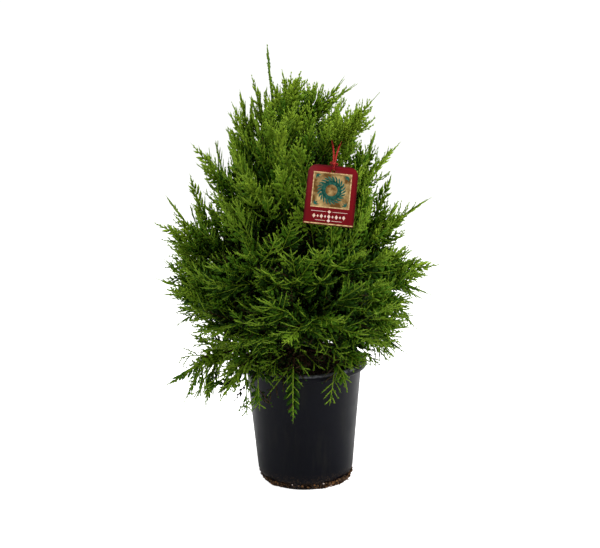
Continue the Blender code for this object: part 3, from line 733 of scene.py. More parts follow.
def growSpray(leaves, twigs, plume, draw, root, along, face, length):
    # a flat spray: a shoot with branchlets left and right in turn, and tiplets on those
    look = foliage
    middle = root + along * length * look["shadeAt"]
    depth = math.hypot(middle[0], middle[1]) / closedReach(middle[None])[0]
    broad = float(np.interp(depth, look["wideFrom"], [look["innerWidth"], 1.0]))
    broad = plume.get("broad", max(broad, look["hangingWidth"] if plume["tier"] == "skirt" else 1.0))
    shade = min(4, pickShade(depth, middle, draw) + plume.get("darker", 0))
    lift = np.array([0, 0, plume["lift"] + draw.uniform(*chance["lift"])])
    bend = lift - along * float(lift @ along)

    def place(shares):
        u = np.asarray(shares)[:, None]
        return root + along * u + bend * u**2 / length

    foot, tip = look["branchletEnds"]
    spots = np.arange(foot, length - tip, plume.get("gap", look["branchletGap"]))
    spots = spots + draw.normal(0, chance["spot"], len(spots))
    shut = blocked(place(np.append(spots, length)), plume)
    if shut.any():
        reach = int(np.argmax(shut))
        if reach < 3:
            return
        spots, length = spots[:reach - 1], float(spots[reach - 1])
    forward = unit(along + 2 * bend * spots[:, None] / length)
    side = unit(np.cross(forward, face))
    over = np.cross(side, forward)
    hand = np.where(np.arange(len(spots)) % 2, 1.0, -1.0)
    wide = plume.get("branchletAngle", look["branchletAngle"])
    angle = np.radians(wide + draw.normal(0, chance["branchletAngle"], len(spots)))[:, None]
    sizes = np.minimum(plume.get("longest", look["longestBranchlet"]), look["branchletShare"]
                       * np.maximum(0, length - spots - look["bareTip"]) + look["leastBranchlet"])
    least = look["footShare"]
    sizes *= np.clip(least + (1 - least) * spots / look["fullFrom"], least, 1.0)
    sizes *= draw.uniform(*chance["branchletSize"], len(spots))
    heading = unit(forward * np.cos(angle) + side * hand[:, None] * np.sin(angle)
                   + over * draw.normal(*chance["branchletTilt"], (len(spots), 1)))
    starts = place(spots)
    ends = starts + heading * sizes[:, None] + forward * (sizes * look["curl"])[:, None]
    bends = starts + heading * (sizes * 0.5)[:, None]
    keep = ~blocked(ends, plume)
    starts, bends, ends, over, sizes, spots = (
        item[keep] for item in (starts, bends, ends, over, sizes, spots))
    if len(starts) == 0:
        return
    # painted highlight: the outer part of each shoot one shade lighter
    shades = np.maximum(0, shade - (spots / length > look["litFrom"]) * 1)
    widths = broad * look["branchletWidth"] * np.clip(sizes / look["fullWidth"], *look["widthShares"])
    long = sizes > look["curvedFrom"]
    if long.any():
        leaves.add(*reeds(starts[long], bends[long], ends[long], over[long], widths[long]), shades[long])
    if not long.all():
        leaves.add(*spindles(starts[~long], ends[~long], over[~long], widths[~long]), shades[~long])
    growTiplets(leaves, plume, draw, broad, (starts, bends, ends, over, sizes), shades)

    # the shoot itself, with its thin green tip; green while its spray is lit, twigBrown where the spray lies
    # in the deepest painted shade
    steps = np.linspace(0, length, max(4, int(length / look["shootStep"])))
    radii = np.interp(steps, [0, length * 0.5, length - look["shootTip"], length], look["shootRadii"])
    tubeThrough(twigs, place(steps), radii, 3, 1 if shade < 4 else 0)


def outwardAt(place):
    outward = Vector((place.x, place.y, 0))
    return outward.normalized() if outward.length > 0.004 else Vector((0, -1, 0))


def acrossLine(place, along):
    across = Vector((0, 0, 1)).cross(outwardAt(place))
    across -= along * across.dot(along)
    if across.length < 0.2:
        across = along.cross(Vector((0, 0, 1)))
    return across.normalized()


def turned(vector, degrees, axis):
    return Matrix.Rotation(math.radians(degrees), 3, axis) @ vector


def either(draw, name):
    # up to that much either way
    return draw.uniform(-chance[name], chance[name])


def growStem(leaves, twigs, plume, draw, line, kind, first, full):
    # a stem with sprays left and right of it in turn, and one that ends it
    look = foliage
    gap, stemRadius, flatTip, brown = stemKinds[kind]
    brown = plume.get("brown", brown)
    last, end, steps = look["lastSpray"], look["stemEnd"], look["stemSteps"]
    stem = [linePoint(line, first + (end - first) * i / steps) for i in range(steps + 1)]
    radii = np.interp(np.linspace(0, 1, steps + 1), [0, 0.6, 1],
                      [stemRadius, stemRadius * 0.6, look["stemTip"]])
    tubeThrough(twigs, stem, radii, 5, (np.arange(steps) >= steps * brown).astype(int))
    length = lineLength(line)
    count = max(3, int(length * (last - first) / gap))
    for number in range(count):
        share = first + (last - first) * (number + either(draw, "sprayPlace")) / count
        share = min(max(share, 0.02), end)
        root, along = linePoint(line, share), lineTangent(line, share)
        outward = outwardAt(root)
        widest = look["roll"] + (look["endRoll"] - look["roll"]) * abs(along.dot(outward))
        roll = draw.uniform(-widest, widest) * (1 - flatTip * max(0.0, (share - 0.5) / 0.5))
        across = turned(acrossLine(root, along), roll, along)
        hand = 1 if number % 2 else -1
        angle = math.radians(plume["angle"] + either(draw, "sprayAngle"))
        heading = (along * math.cos(angle) + across * hand * math.sin(angle)).normalized()
        # sprays lie broadside to what is outside the plant
        face = outward + Vector((0, 0, look["faceLift"]))
        face -= heading * face.dot(heading)
        if face.length < 0.3:
            face = across.cross(heading)
        face = turned(face.normalized(), draw.uniform(-look["faceTurn"], look["faceTurn"]), heading)
        spray = full * draw.uniform(*chance["spraySize"])
        spray *= min(1.0, (1 - share) / (1 - look["fullUntil"])) ** look["shrink"]
        spray = max(spray, plume.get("least", look["leastSpray"]))
        growSpray(leaves, twigs, plume, draw, np.array(root), np.array(heading), np.array(face), spray)
    root = linePoint(line, 1 - min(0.4, look["endSpray"] / length))
    heading = line[2] - root
    face = acrossLine(root, heading.normalized()).cross(heading.normalized())
    face = turned(face, either(draw, "endSprayRoll"), heading)
    growSpray(leaves, twigs, dict(plume, lift=0.0), draw, np.array(root), np.array(heading.normalized()),
              np.array(face.normalized()), heading.length)


# side stems that reach past the closed crown: where each leaves its main stem, and its tip
longSides = {
    "middle_left": ((0.30, (-0.1404, 0.012, 0.4007)), (0.42, (-0.1678, -0.020, 0.3774)),
                    (0.50, (-0.1780, -0.012, 0.3200))),
    "low_left": ((0.40, (-0.1850, 0.012, 0.2945)), (0.46, (-0.1856, -0.018, 0.2723)),
                 (0.40, (-0.1628, -0.022, 0.2097))),
    "skirt_left": ((0.42, (-0.1506, 0.010, 0.1934)), (0.52, (-0.1560, -0.018, 0.1070)),
                   (0.46, (-0.1280, -0.030, 0.1030))),
    "high_left": ((0.45, (-0.1297, -0.015, 0.4155)),),
    "shoulder_left": ((0.35, (-0.0736, 0.010, 0.5040)), (0.40, (-0.0888, -0.008, 0.4776))),
    "top_front": ((0.30, (-0.0197, -0.012, 0.5271)), (0.35, (-0.0087, -0.020, 0.5245)),
                  (0.15, (-0.0330, -0.014, 0.5130))),
    "top_right": ((0.30, (0.0729, 0.000, 0.5097)), (0.25, (0.0213, -0.014, 0.5083))),
    "high_right": ((0.40, (0.0954, -0.008, 0.4495)),),
    "shoulder_right": ((0.50, (0.0860, -0.082, 0.4820)), (0.44, (0.0860, -0.060, 0.4650))),
    "middle_right": ((0.30, (0.1140, -0.016, 0.3983)), (0.36, (0.1318, 0.015, 0.3346))),
    "low_right": ((0.42, (0.1625, -0.026, 0.2440)), (0.36, (0.1460, -0.012, 0.1960)),
                  (0.52, (0.1765, -0.008, 0.2790)), (0.45, (0.1680, 0.018, 0.2600)),
                  (0.40, (0.1590, 0.022, 0.2280))),
    "skirt_back_left": ((0.44, (-0.0330, 0.1815, 0.1880)), (0.50, (-0.0760, 0.1560, 0.1700)),
                        (0.16, (0.0150, 0.0720, 0.1680))),
    "skirt_back_right": ((0.16, (-0.0050, 0.0700, 0.1900)), (0.20, (0.0450, 0.0150, 0.1850))),
    "middle_back_left": ((0.40, (-0.0480, 0.1740, 0.3120)), (0.34, (-0.1180, 0.1180, 0.3300))),
    "low_back_right": ((0.42, (0.0240, 0.1700, 0.2880)), (0.46, (0.0960, 0.1360, 0.2560))),
    "low_back_left": ((0.44, (-0.0420, 0.1640, 0.2160)),),
    "high_back": ((0.40, (-0.0020, 0.1360, 0.3720)),),
    "low_front": ((0.46, (-0.0262, -0.1770, 0.2230)), (0.40, (0.0420, -0.1480, 0.2460))),
    "middle_front_right": ((0.40, (0.0400, -0.1420, 0.3080)),),
}


def growPlume(plume, leaves, twigs):
    # a mass: its main stem, side stems all along it, and the long ones that give the crown its tips
    look = foliage
    draw = np.random.default_rng(plant["seed"] + plume["index"])
    line = plume["line"]
    growStem(leaves, twigs, plume, draw, line, "main", plume["start"], plume["shoot"] * look["mainShare"])
    if plume["name"] == "leader":
        return
    inner = look["innerStart"] if plume["bare"] else plume["start"]
    count = plume.get("stems", look["stems"][plume["tier"]])
    for number in range(count):
        share = inner + (look["innerEnd"] - inner) * (number + 0.4) / count
        root, along = linePoint(line, share), lineTangent(line, share)
        roll = (-1) ** (number // 2) * draw.uniform(*chance["stemRoll"])
        across = turned(acrossLine(root, along), roll, along)
        angle = math.radians(plume["angle"] + either(draw, "stemAngle"))
        heading = along * math.cos(angle) + across * (-1) ** number * math.sin(angle)
        reach = plume["shoot"] * draw.uniform(*chance["stemSize"])
        for attempt in range(look["tries"]):
            tip = root + heading * reach + Vector((0, 0, plume["lift"] * reach * look["sideLift"]))
            if not blocked(np.array([tip]), plume)[0]:
                break
            reach *= look["shorter"]
        side = (root, root + heading * reach * 0.5, tip)
        growStem(leaves, twigs, plume, draw, side, "side", look["sideStart"],
                 look["sideSpray"] * reach / 0.1)
    for share, tip in longSides.get(plume["name"], ()):
        root, along, tip = linePoint(line, share), lineTangent(line, share), Vector(tip)
        side = (root, root + along * (tip - root).length * look["stemBend"], tip)
        growStem(leaves, twigs, dict(plume, line=side), draw, side, "long", look["longStart"],
                 look["longSpray"])


# painted light and shade: shades run from 0, the lightest green, to 4, the darkest
shading = {
    "plain": 1.3,
    "spread": 0.6,
    "inside": 5.6,  # painted shade, added from the edge of the crown to its middle
    "reach": 1.1,  # farthest out that counts, in crown radii
    "nearTop": (0.3, 0.56, 0.12),  # least share, the height towards which it fades, and over what length
    "above": (-2.0, 0.30, 0.50),  # painted light, added between these heights: lighter towards the top
    # painted shade, darker low down
    "below": (0.5, 0.30, 0.20),
    # painted light at the sides, and painted shade at the lower front
    "right": -0.95,
    "left": -0.60,
    "front": 0.50,
    "sideHeights": (0.44, 0.34),  # none above the first, all of it below the second
    "frontHeights": (0.42, 0.32),
}


def between(value, start, end):
    return min(1.0, max(0.0, (value - start) / (end - start)))


# painted light and shade for a spray: darker deep in the crown, low down and at the lower front, lighter at
# the top and the sides
def pickShade(reach, place, draw):
    x, y, z = place
    radius = math.hypot(x, y)
    least, top, length = shading["nearTop"]
    inside = (1 - min(reach, shading["reach"])) * min(1.0, max(least, (top - z) / length))
    added, low, high = shading["above"]
    value = shading["plain"] + shading["inside"] * inside + added * max(0.0, (z - low) / (high - low))
    value += draw.normal(0, shading["spread"])
    added, high, low = shading["below"]
    value += added * between(z, high, low)
    value += shading["right" if x > 0 else "left"] * abs(x) / radius * between(z, *shading["sideHeights"])
    value += shading["front"] * max(0.0, -y) / radius * between(z, *shading["frontHeights"])
    return int(min(max(round(value), 0), 4))


def makeFoliage():
    look = foliage
    # one material for each painted shade of the green, from lit to shaded
    greens = [plainMaterial(name, colour, look["roughness"], look["gloss"])
              for name, colour in look["colours"].items()]
    woods = [plainMaterial("twigBrown", look["twigBrown"], look["twigRoughness"], look["twigGloss"]),
             plainMaterial("twigGreen", look["twigGreen"], look["roughness"], look["twigGloss"])]
    total = 0
    for plume in plumes:
        leaves, twigs = Bundle(), Bundle()
        growPlume(plume, leaves, twigs)
        sprays = leaves.piece(f"sprays_{plume['name']}", greens)
        stems = twigs.piece(f"twigs_{plume['name']}", woods)
        ridesOn(sprays, "foliage", f"foliage_{plume['name']}")
        ridesOn(stems, "bark")
        total += len(sprays.data.polygons) + len(stems.data.polygons)
    print("stage 2: foliage,", total, "triangles")


# Trunk and boughs

wood = {
    "trunkRadius": 0.0058,
    "trunkTipRadius": 0.0014,
    "slimming": 0.85,  # power by which the trunk grows thin
    "collarHeights": (0.1470, 0.1600, 8),  # from, to and number of rings
    "stemHeights": (0.1640, plant["trunkTop"], 84),
    "flare": 0.0040,  # of the root collar, over this height
    "flareHeight": 0.0070,
    "boughRadius": 0.0024,
    "boughTipRadius": 0.0019,
    "boughSteps": 17,
    "boughEnd": plant["bareShare"] + 0.02,
    "relief": 0.0010,  # of the bark's plates
    "plate": 0.0045,
    "bark": (0.13, 0.055, 0.03),
    "barkDark": (0.040, 0.016, 0.009),
    "barkLight": (0.150, 0.066, 0.036),
    "barkGrey": (0.165, 0.105, 0.070),
    "barkGreen": (0.060, 0.120, 0.012),
    "greenFrom": (0.40, 0.46),  # heights between which the bark turns green
}


def limb(name, points, radii, steps):
    # a path with a round bevel, made a mesh and cut across at every step
    deselectAll()
    bpy.ops.curve.primitive_bezier_curve_add(location=(0, 0, 0))
    item = bpy.context.object
    item.name = name
    curve = item.data
    curve.splines.clear()
    spline = curve.splines.new("POLY")
    spline.points.add(len(points) - 1)
    for point, place, radius in zip(spline.points, points, radii):
        point.co, point.radius = (*place, 1), radius
    curve.dimensions = "3D"
    curve.bevel_depth, curve.bevel_resolution, curve.use_fill_caps = 1.0, steps, True
    activate(item)
    bpy.ops.object.convert(target="MESH")
    applyPlace(item)
    bpy.ops.object.mode_set(mode="EDIT")
    bpy.ops.mesh.select_all(action="SELECT")
    bpy.ops.mesh.remove_doubles(threshold=0.00001)
    facesOutwards()
    bpy.ops.object.mode_set(mode="OBJECT")
    return item


def makeBarkFinish():
    look = wood
    bark = Finish("bark", look["bark"], 0.8, 0.25)
    along = bark.stretched((1.0, 1.0, 0.35))
    plates, deep = bark.mottle(420.0, 0.38, 0.62, look["barkDark"], look["barkLight"], along)
    grey = bark.mottle(160.0, 0.50, 0.72, plates, look["barkGrey"], along)[0]
    colour = bark.mixed(bark.ramp(bark.height(), *look["greenFrom"]), grey, look["barkGreen"])
    return bark.cover(colour, deep, (0.90, 0.68), (900.0, 0.8, 0.0006), along)


def makeWood():
    look = wood
    finish = makeBarkFinish()
    points, radii = [], []
    for height in np.concatenate([np.linspace(*look["collarHeights"]), np.linspace(*look["stemHeights"])]):
        above = max(0.0, height - plant["soilTop"])
        share = above / (plant["trunkTop"] - plant["soilTop"])
        slim = (1 - share) ** look["slimming"]
        points.append(trunkAxis(height))
        radii.append(look["trunkTipRadius"] + (look["trunkRadius"] - look["trunkTipRadius"]) * slim
                     + look["flare"] * math.exp(-above / look["flareHeight"]))
    trunk = limb("trunkBark", points, radii, 6)
    roughen(trunk, look["plate"], look["relief"])
    finished(trunk, finish, "bark", "trunk", angle=60)
    boughs, names = [], []
    steps = look["boughSteps"]
    for plume in plumes:
        if plume["bare"]:
            points = [linePoint(plume["line"], look["boughEnd"] * i / steps) for i in range(steps + 1)]
            radii = [look["boughRadius"] + (look["boughTipRadius"] - look["boughRadius"]) * i / steps
                     for i in range(steps + 1)]
            boughs.append(limb("bough", points, radii, 3))
            names.append(f"bough_{plume['name']}")
    both = joined("boughBark", boughs)
    roughen(both, look["plate"] * 0.6, look["relief"] * 0.45)
    finished(both, finish, "bark", *names, angle=60)
    print("stage 3: trunk and boughs")


# Pot

pot = {
    "sides": 112,
    "profile": (  # radius and height: foot, wall, lip, then down the inside
        (0.0587, 0.0), (0.0628, 0.0125), (0.0752, 0.1512), (0.0811, 0.1500), (0.0825, 0.1514),
        (0.0825, 0.1558), (0.0803, 0.1580), (0.0744, 0.1580), (0.0734, 0.1568), (0.0610, 0.0125),
        (0.0569, 0.0018)),
    "slots": 14,
    "slotSize": (0.030, 0.0145, 0.0075),
    "slotPlace": (0.061, 0.0, 0.0062),
    "slotRound": 0.0028,
    "edgeRound": 0.0006,
    "plastic": (0.004, 0.004, 0.006),
    "black": (0.0008, 0.0010, 0.0034),
    "blackPale": (0.0015, 0.0018, 0.0050),
    "streak": (0.0065, 0.0065, 0.0068),
    "dust": (0.095, 0.060, 0.032),
    "dustTop": 0.022,  # height up to which it clings
    # painted highlight on the lip's top edge: its colours, and the heights over which it comes in
    "lipHighlight": (0.030, 0.031, 0.036),
    "lipHighlightPale": (0.24, 0.245, 0.27),
    "lipHighlightHeights": (0.1558, 0.1574),
}


def makePotFinish():
    look = pot
    plastic = Finish("potPlastic", look["plastic"], 0.4, 0.09)
    patches, mask = plastic.mottle(38.0, 0.35, 0.70, look["black"], look["blackPale"])
    upright = plastic.stretched((1.0, 1.0, 0.12))
    streaks = plastic.mottle(90.0, 0.52, 0.80, patches, look["streak"], upright)[0]
    height = plastic.height()
    dust = plastic.mottle(520.0, 0.50, 0.66, (0, 0, 0), (1, 1, 1))[1]
    soiled = plastic.calculate("MULTIPLY", plastic.ramp(height, look["dustTop"], 0.0), dust)
    colour = plastic.mixed(soiled, streaks, look["dust"])
    # painted highlight: a pale bluish mottled band on the top of the lip
    highlighted = plastic.mottle(240.0, 0.30, 0.62, look["lipHighlight"], look["lipHighlightPale"])[0]
    colour = plastic.mixed(plastic.ramp(height, *look["lipHighlightHeights"]), colour, highlighted)
    return plastic.cover(colour, mask, (0.34, 0.44), (1300.0, 0.10, 0.0002))


def makePot():
    look = pot
    shell = turnedShape("potShell", look["sides"], look["profile"])
    rims = {(round(r, 4), round(z, 4)) for r, z in look["profile"][:-1]}
    activate(shell)
    bpy.ops.object.mode_set(mode="EDIT")
    pick(shell, "EDGE", lambda middle, ends: abs(ends[0].z - ends[1].z) < 1e-6 and (
        round(math.hypot(ends[0].x, ends[0].y), 4), round(ends[0].z, 4)) in rims)
    bpy.ops.mesh.bevel(offset=look["edgeRound"], segments=2, affect="EDGES")
    bpy.ops.object.mode_set(mode="OBJECT")
    cutters = []
    for number in range(look["slots"]):
        deselectAll()
        bpy.ops.mesh.primitive_cube_add(size=1, location=look["slotPlace"], scale=look["slotSize"])
        cutter = bpy.context.object
        applyPlace(cutter)
        bpy.ops.object.mode_set(mode="EDIT")
        pick(cutter, "EDGE", lambda middle, ends: abs(ends[0].x - ends[1].x) > 0.01)
        bpy.ops.mesh.bevel(offset=look["slotRound"], segments=4, affect="EDGES")
        bpy.ops.object.mode_set(mode="OBJECT")
        cutter.rotation_euler.z = 2 * math.pi * (number + 0.5) / look["slots"]
        applyPlace(cutter)
        cutters.append(cutter)
    cutter = joined("slotCutter", cutters)
    cut = shell.modifiers.new("slots", "BOOLEAN")
    cut.operation, cut.object, cut.solver = "DIFFERENCE", cutter, "EXACT"
    applyModifiers(shell)
    bpy.data.objects.remove(cutter)
    finished(shell, makePotFinish(), "pot", "pot", angle=38)
    print("stage 4: pot,", len(shell.data.polygons), "faces")


# Soil

soil = {
    "side": ((0.0566, 0.0022), (0.0606, 0.0125), (0.0668, 0.080), (0.0728, 0.1435)),
    "edge": 0.0728, "edgeHeight": 0.1440,
    "middleHeight": 0.1486, "flatRadius": 0.016,
    "rings": 30, "sides": 96,
    "lump": 0.0060, "relief": 0.0022,
    "grains": 2600, "grainSize": (0.0005, 0.0015),
    "grainScale": (0.6, 1.3),
    "grainRise": (0.0002, 0.0014),
    "grainSpread": (0.02, 0.985),  # shares of the soil's area, from its middle out
    "grainClear": 0.0016,  # from the edge
    "grainMix": (0.52, 0.455, 0.025),  # shares of earth, bark and perlite
    "grainShape": (0.55, 0.6, 0.7),  # least corner and width, and height, to 1 of its size
    "crumbs": 900,  # at the foot of the pot, most in front and to the right
    "crumbArc": (180, 380),
    "crumbSize": (0.0009, 0.0024),
    "crumbMix": (0.29, 0.38, 0.02, 0.31),  # the same, and fibre
    "crumbRadius": (0.0572, 0.0046),  # at the floor, and how much more at the heap's top
    "crumbHeight": (0.0004, 0.0075),
    "crumbRise": 1.4,  # power by which they lie low
    "crumbSpread": (0.0006, 0.0030),  # outwards, and added in the heaps
    "crumbShare": (0.20, 0.35),  # kept everywhere, and added in clumps
    "clumps": (9, 23),  # waves round the pot
    "highHeap": (318, 9),  # direction, and how narrow
    "lowHeap": (225, 10, 0.7),  # direction, half width and size
    "heapCrumb": 0.9,  # how much larger the crumbs are in the heaps
    "kinds": {  # dark and light clods, and flecks
        "soilEarth": ((0.012, 0.007, 0.004), (0.052, 0.030, 0.017), (0.16, 0.11, 0.07)),
        "soilBark": ((0.050, 0.026, 0.012), (0.150, 0.082, 0.040), (0.20, 0.14, 0.08)),
        "soilPerlite": ((0.50, 0.38, 0.32), (0.70, 0.60, 0.54), (0.4, 0.3, 0.22)),
        "soilFibre": ((0.120, 0.052, 0.018), (0.260, 0.125, 0.045), (0.36, 0.22, 0.11)),
    },
}


def grains(name, centres, sizes, draw, kinds, materials):
    # crumbs of eight triangles each, uneven and turned at random
    corners = np.array([(1, 0, 0), (-1, 0, 0), (0, 1, 0), (0, -1, 0), (0, 0, 1), (0, 0, -1)], float)
    order = np.array([[0, 2, 4], [2, 1, 4], [1, 3, 4], [3, 0, 4], [2, 0, 5], [1, 2, 5], [3, 1, 5], [0, 3, 5]])
    points, faces, slots = [], [], []
    corner, width, flat = soil["grainShape"]
    for number, (centre, size, kind) in enumerate(zip(centres, sizes, kinds)):
        uneven = draw.uniform(corner, 1.0, (6, 1))
        shape = corners * size * uneven * np.array([1, draw.uniform(width, 1), flat])
        turn = np.array(Matrix.Rotation(draw.uniform(0, 6.28), 3, Vector(draw.normal(0, 1, 3))))
        points.append(shape @ turn.T + centre)
        faces.append(order + 6 * number)
        slots.append(np.full(8, kind))
    return meshPiece(name, np.concatenate(points), np.concatenate(faces), materials, np.concatenate(slots))


def makeSoilFinish(name, dark, light, fleck):
    earth = Finish(name, dark, 0.9, 0.2)
    clods, mask = earth.mottle(260.0, 0.36, 0.66, dark, light)
    spots = earth.mottle(900.0, 0.62, 0.70, clods, fleck)[0]
    return earth.cover(spots, mask, (0.95, 0.80), (1500.0, 0.9, 0.0008))


def soilHeight(radius):
    share = np.clip((radius - soil["flatRadius"]) / (soil["edge"] - soil["flatRadius"]), 0, 1)
    return soil["middleHeight"] - (soil["middleHeight"] - soil["edgeHeight"]) * share


def roundPlaces(radius, turn, height):
    return np.stack([radius * np.cos(turn), radius * np.sin(turn), height], axis=1)


def makeGrains(draw, bits):
    # on top of the soil
    look = soil
    count = look["grains"]
    radius = look["edge"] * np.sqrt(draw.uniform(*look["grainSpread"], count))
    turn = draw.uniform(0, 2 * np.pi, count)
    centres = roundPlaces(radius, turn, soilHeight(radius) + draw.uniform(*look["grainRise"], count))
    sizes = draw.uniform(*look["grainSize"], count) * draw.uniform(*look["grainScale"], count)
    kinds = draw.choice(3, count, p=look["grainMix"])
    keep = np.hypot(centres[:, 0], centres[:, 1]) < look["edge"] - look["grainClear"]
    return grains("soilGrains", centres[keep], sizes[keep], draw, kinds[keep], bits)


def makeCrumbs(draw, bits):
    # washed out of the drain slots, in heaps at the pot's foot, and none below the floor
    look = soil
    count = look["crumbs"]
    turn = np.radians(draw.uniform(*look["crumbArc"], count))
    high, narrow = look["highHeap"]
    low, half, size = look["lowHeap"]
    heaps = np.clip(np.cos(turn - math.radians(high)), 0, 1) ** narrow
    heaps = heaps + size * np.exp(-((np.degrees(turn) - low) / half) ** 2)
    slow, fast = look["clumps"]
    clumps = 0.5 + 0.5 * np.sin(slow * turn) * np.sin(fast * turn + 1.0)
    everywhere, added = look["crumbShare"]
    keep = draw.uniform(0, 1, count) < everywhere + added * clumps + heaps
    rise = draw.uniform(0, 1, count) ** look["crumbRise"]
    (inner, wider), (foot, taller) = look["crumbRadius"], look["crumbHeight"]
    near, far = look["crumbSpread"]
    radius = inner + wider * rise + (near + far * heaps) * draw.uniform(0, 1, count)
    centres = roundPlaces(radius, turn, foot + taller * rise)
    sizes = draw.uniform(*look["crumbSize"], count) * (1 + look["heapCrumb"] * np.clip(heaps, 0, 1))
    kinds = draw.choice(4, count, p=look["crumbMix"])
    crumbs = grains("soilCrumbs", centres[keep], sizes[keep], draw, kinds[keep], bits)
    for corner in crumbs.data.vertices:
        corner.co.z = max(corner.co.z, 0.0)
    return crumbs


def makeSoil():
    look = soil
    draw = np.random.default_rng(plant["seed"] + 500)
    radii = np.linspace(look["edge"], 0.0010, look["rings"])
    profile = [*look["side"], *((float(r), float(soilHeight(r))) for r in radii)]
    plug = turnedShape("soilPlug", look["sides"], profile)
    roughen(plug, look["lump"], look["relief"], 3)
    bits = [makeSoilFinish(name, *colours) for name, colours in look["kinds"].items()]
    finished(plug, bits[0], "soil", "soil", angle=50)
    ridesOn(makeGrains(draw, bits), "soil")
    ridesOn(makeCrumbs(draw, bits), "soil")
    print("stage 5: soil")


# Tag

card = {
    "crimson": (0.175, 0.0040, 0.008),
    "crimsonWorn": (0.140, 0.0032, 0.0064),
    "crimsonEdge": (0.060, 0.001, 0.004),
    "cream": (0.74, 0.50, 0.24),
    "gold": (0.12, 0.055, 0.013),
    "goldPale": (0.60, 0.42, 0.17),
    "teal": (0.008, 0.070, 0.052),
    "tealLight": (0.034, 0.170, 0.120),
    "pale": (0.80, 0.58, 0.56),
    "inks": {  # colour, second colour and fineness of its patches, one for each layer
        "tagCream": ("cream", "gold", 380.0), "tagGold": ("gold", "goldPale", 95.0),
        "tagTeal": ("teal", "tealLight", 330.0), "tagPale": ("pale", "cream", 500.0)},
    "edgeWide": 0.0030,  # of the darker border
    "edgeRound": 0.00012,
    "panel": (-0.0218, -0.0146, 0.0218, 0.0262),  # left, bottom, right, top, from the card's middle
    "frameWide": 0.0013,
    "footRule": (0.0012, 0.0008, 0.0021),  # from the card's side, and its foot and top
    "proud": 0.00004,  # how far each layer of print stands off the one under it
    "wreath": ((0.0118, 24, 0.0070), (0.0092, 18, 0.0060)),  # radius, leaf pairs and length, ring by ring
    "wreathLeans": (38, -34),
    "leafWidth": 0.0021,
    "corner": (0.0182, 0.0172),  # from the panel's middle to a corner's sprig
    "sprigLeans": (-40, 0, 40),
    "sprigLeaf": (0.0052, 0.0017),
    "rules": ((-0.0193, 0.0205), (-0.0296, 0.0150)),  # height and half length
    "ruleWide": 0.0005,
    "ruleGap": 0.0035,  # half of it, with a lozenge inside
    "ruleLozenge": (0.0022, 0.0019),
    "lozenges": (9, 0.0042, -0.0246),  # number, gap and height
    "lozengeSizes": (0.0026, 0.0017),  # in turn
}


def flatShapes(name, outlines, height, materials, kinds):
    # closed flat outlines on the card's face, each filled from its middle
    points, faces, slots, count = [], [], [], 0
    for outline, kind in zip(outlines, kinds):
        ring = np.asarray(outline, float)
        middle = ring.mean(axis=0)
        points.append(np.concatenate([[middle], ring]))
        size = len(ring)
        faces.append(np.array([(0, 1 + i, 1 + (i + 1) % size) for i in range(size)]) + count)
        slots.append(np.full(size, kind))
        count += size + 1
    flat = np.concatenate(points)
    solid = np.column_stack([flat, np.full(len(flat), height)])
    place = np.array(tagFrame())
    return meshPiece(name, solid @ place[:3, :3].T + place[:3, 3], np.concatenate(faces), materials,
                     np.concatenate(slots))


def box2d(left, bottom, right, top):
    return [(left, bottom), (right, bottom), (right, top), (left, top)]


def leafOutline(x, y, direction, length, width):
    turn = math.radians(direction)
    along, across = (math.cos(turn), math.sin(turn)), (-math.sin(turn), math.cos(turn))
    half = [(0.0, 0.0), (0.25, 0.8), (0.5, 1.0), (0.75, 0.7), (1.0, 0.0)]
    ring = half + [(u, -v) for u, v in reversed(half[1:-1])]
    return [(x + along[0] * u * length + across[0] * v * width / 2,
             y + along[1] * u * length + across[1] * v * width / 2) for u, v in reversed(ring)]


def lozenge(x, y, wide, tall):
    return [(x, y - tall), (x + wide, y), (x, y + tall), (x - wide, y)]


def cardEdges(paper):
    # a mask that rises from 0 to 1 over the card's border
    back = tagFrame().inverted()
    local = paper.add("ShaderNodeMapping", Vector=paper.place, Rotation=back.to_euler(),
                      Location=back.translation)
    axes = paper.add("ShaderNodeSeparateXYZ", Vector=local.outputs["Vector"])
    edges = []
    for axis, side in (("X", "width"), ("Y", "height")):
        half = tagPlace[side] / 2
        far = paper.calculate("ABSOLUTE", axes.outputs[axis])
        edges.append(paper.ramp(far, half - card["edgeWide"], half))
    return paper.calculate("MAXIMUM", *edges)


def makeTagFinish(name, colour, other, scale, bordered=False):
    paper = Finish(name, colour, 0.38, 0.10)
    shade, mask = paper.mottle(scale, 0.40, 0.72, colour, other)
    if bordered:
        shade = paper.mixed(cardEdges(paper), shade, card["crimsonEdge"])
    return paper.cover(shade, mask, (0.32, 0.42), (1600.0, 0.08, 0.0001))


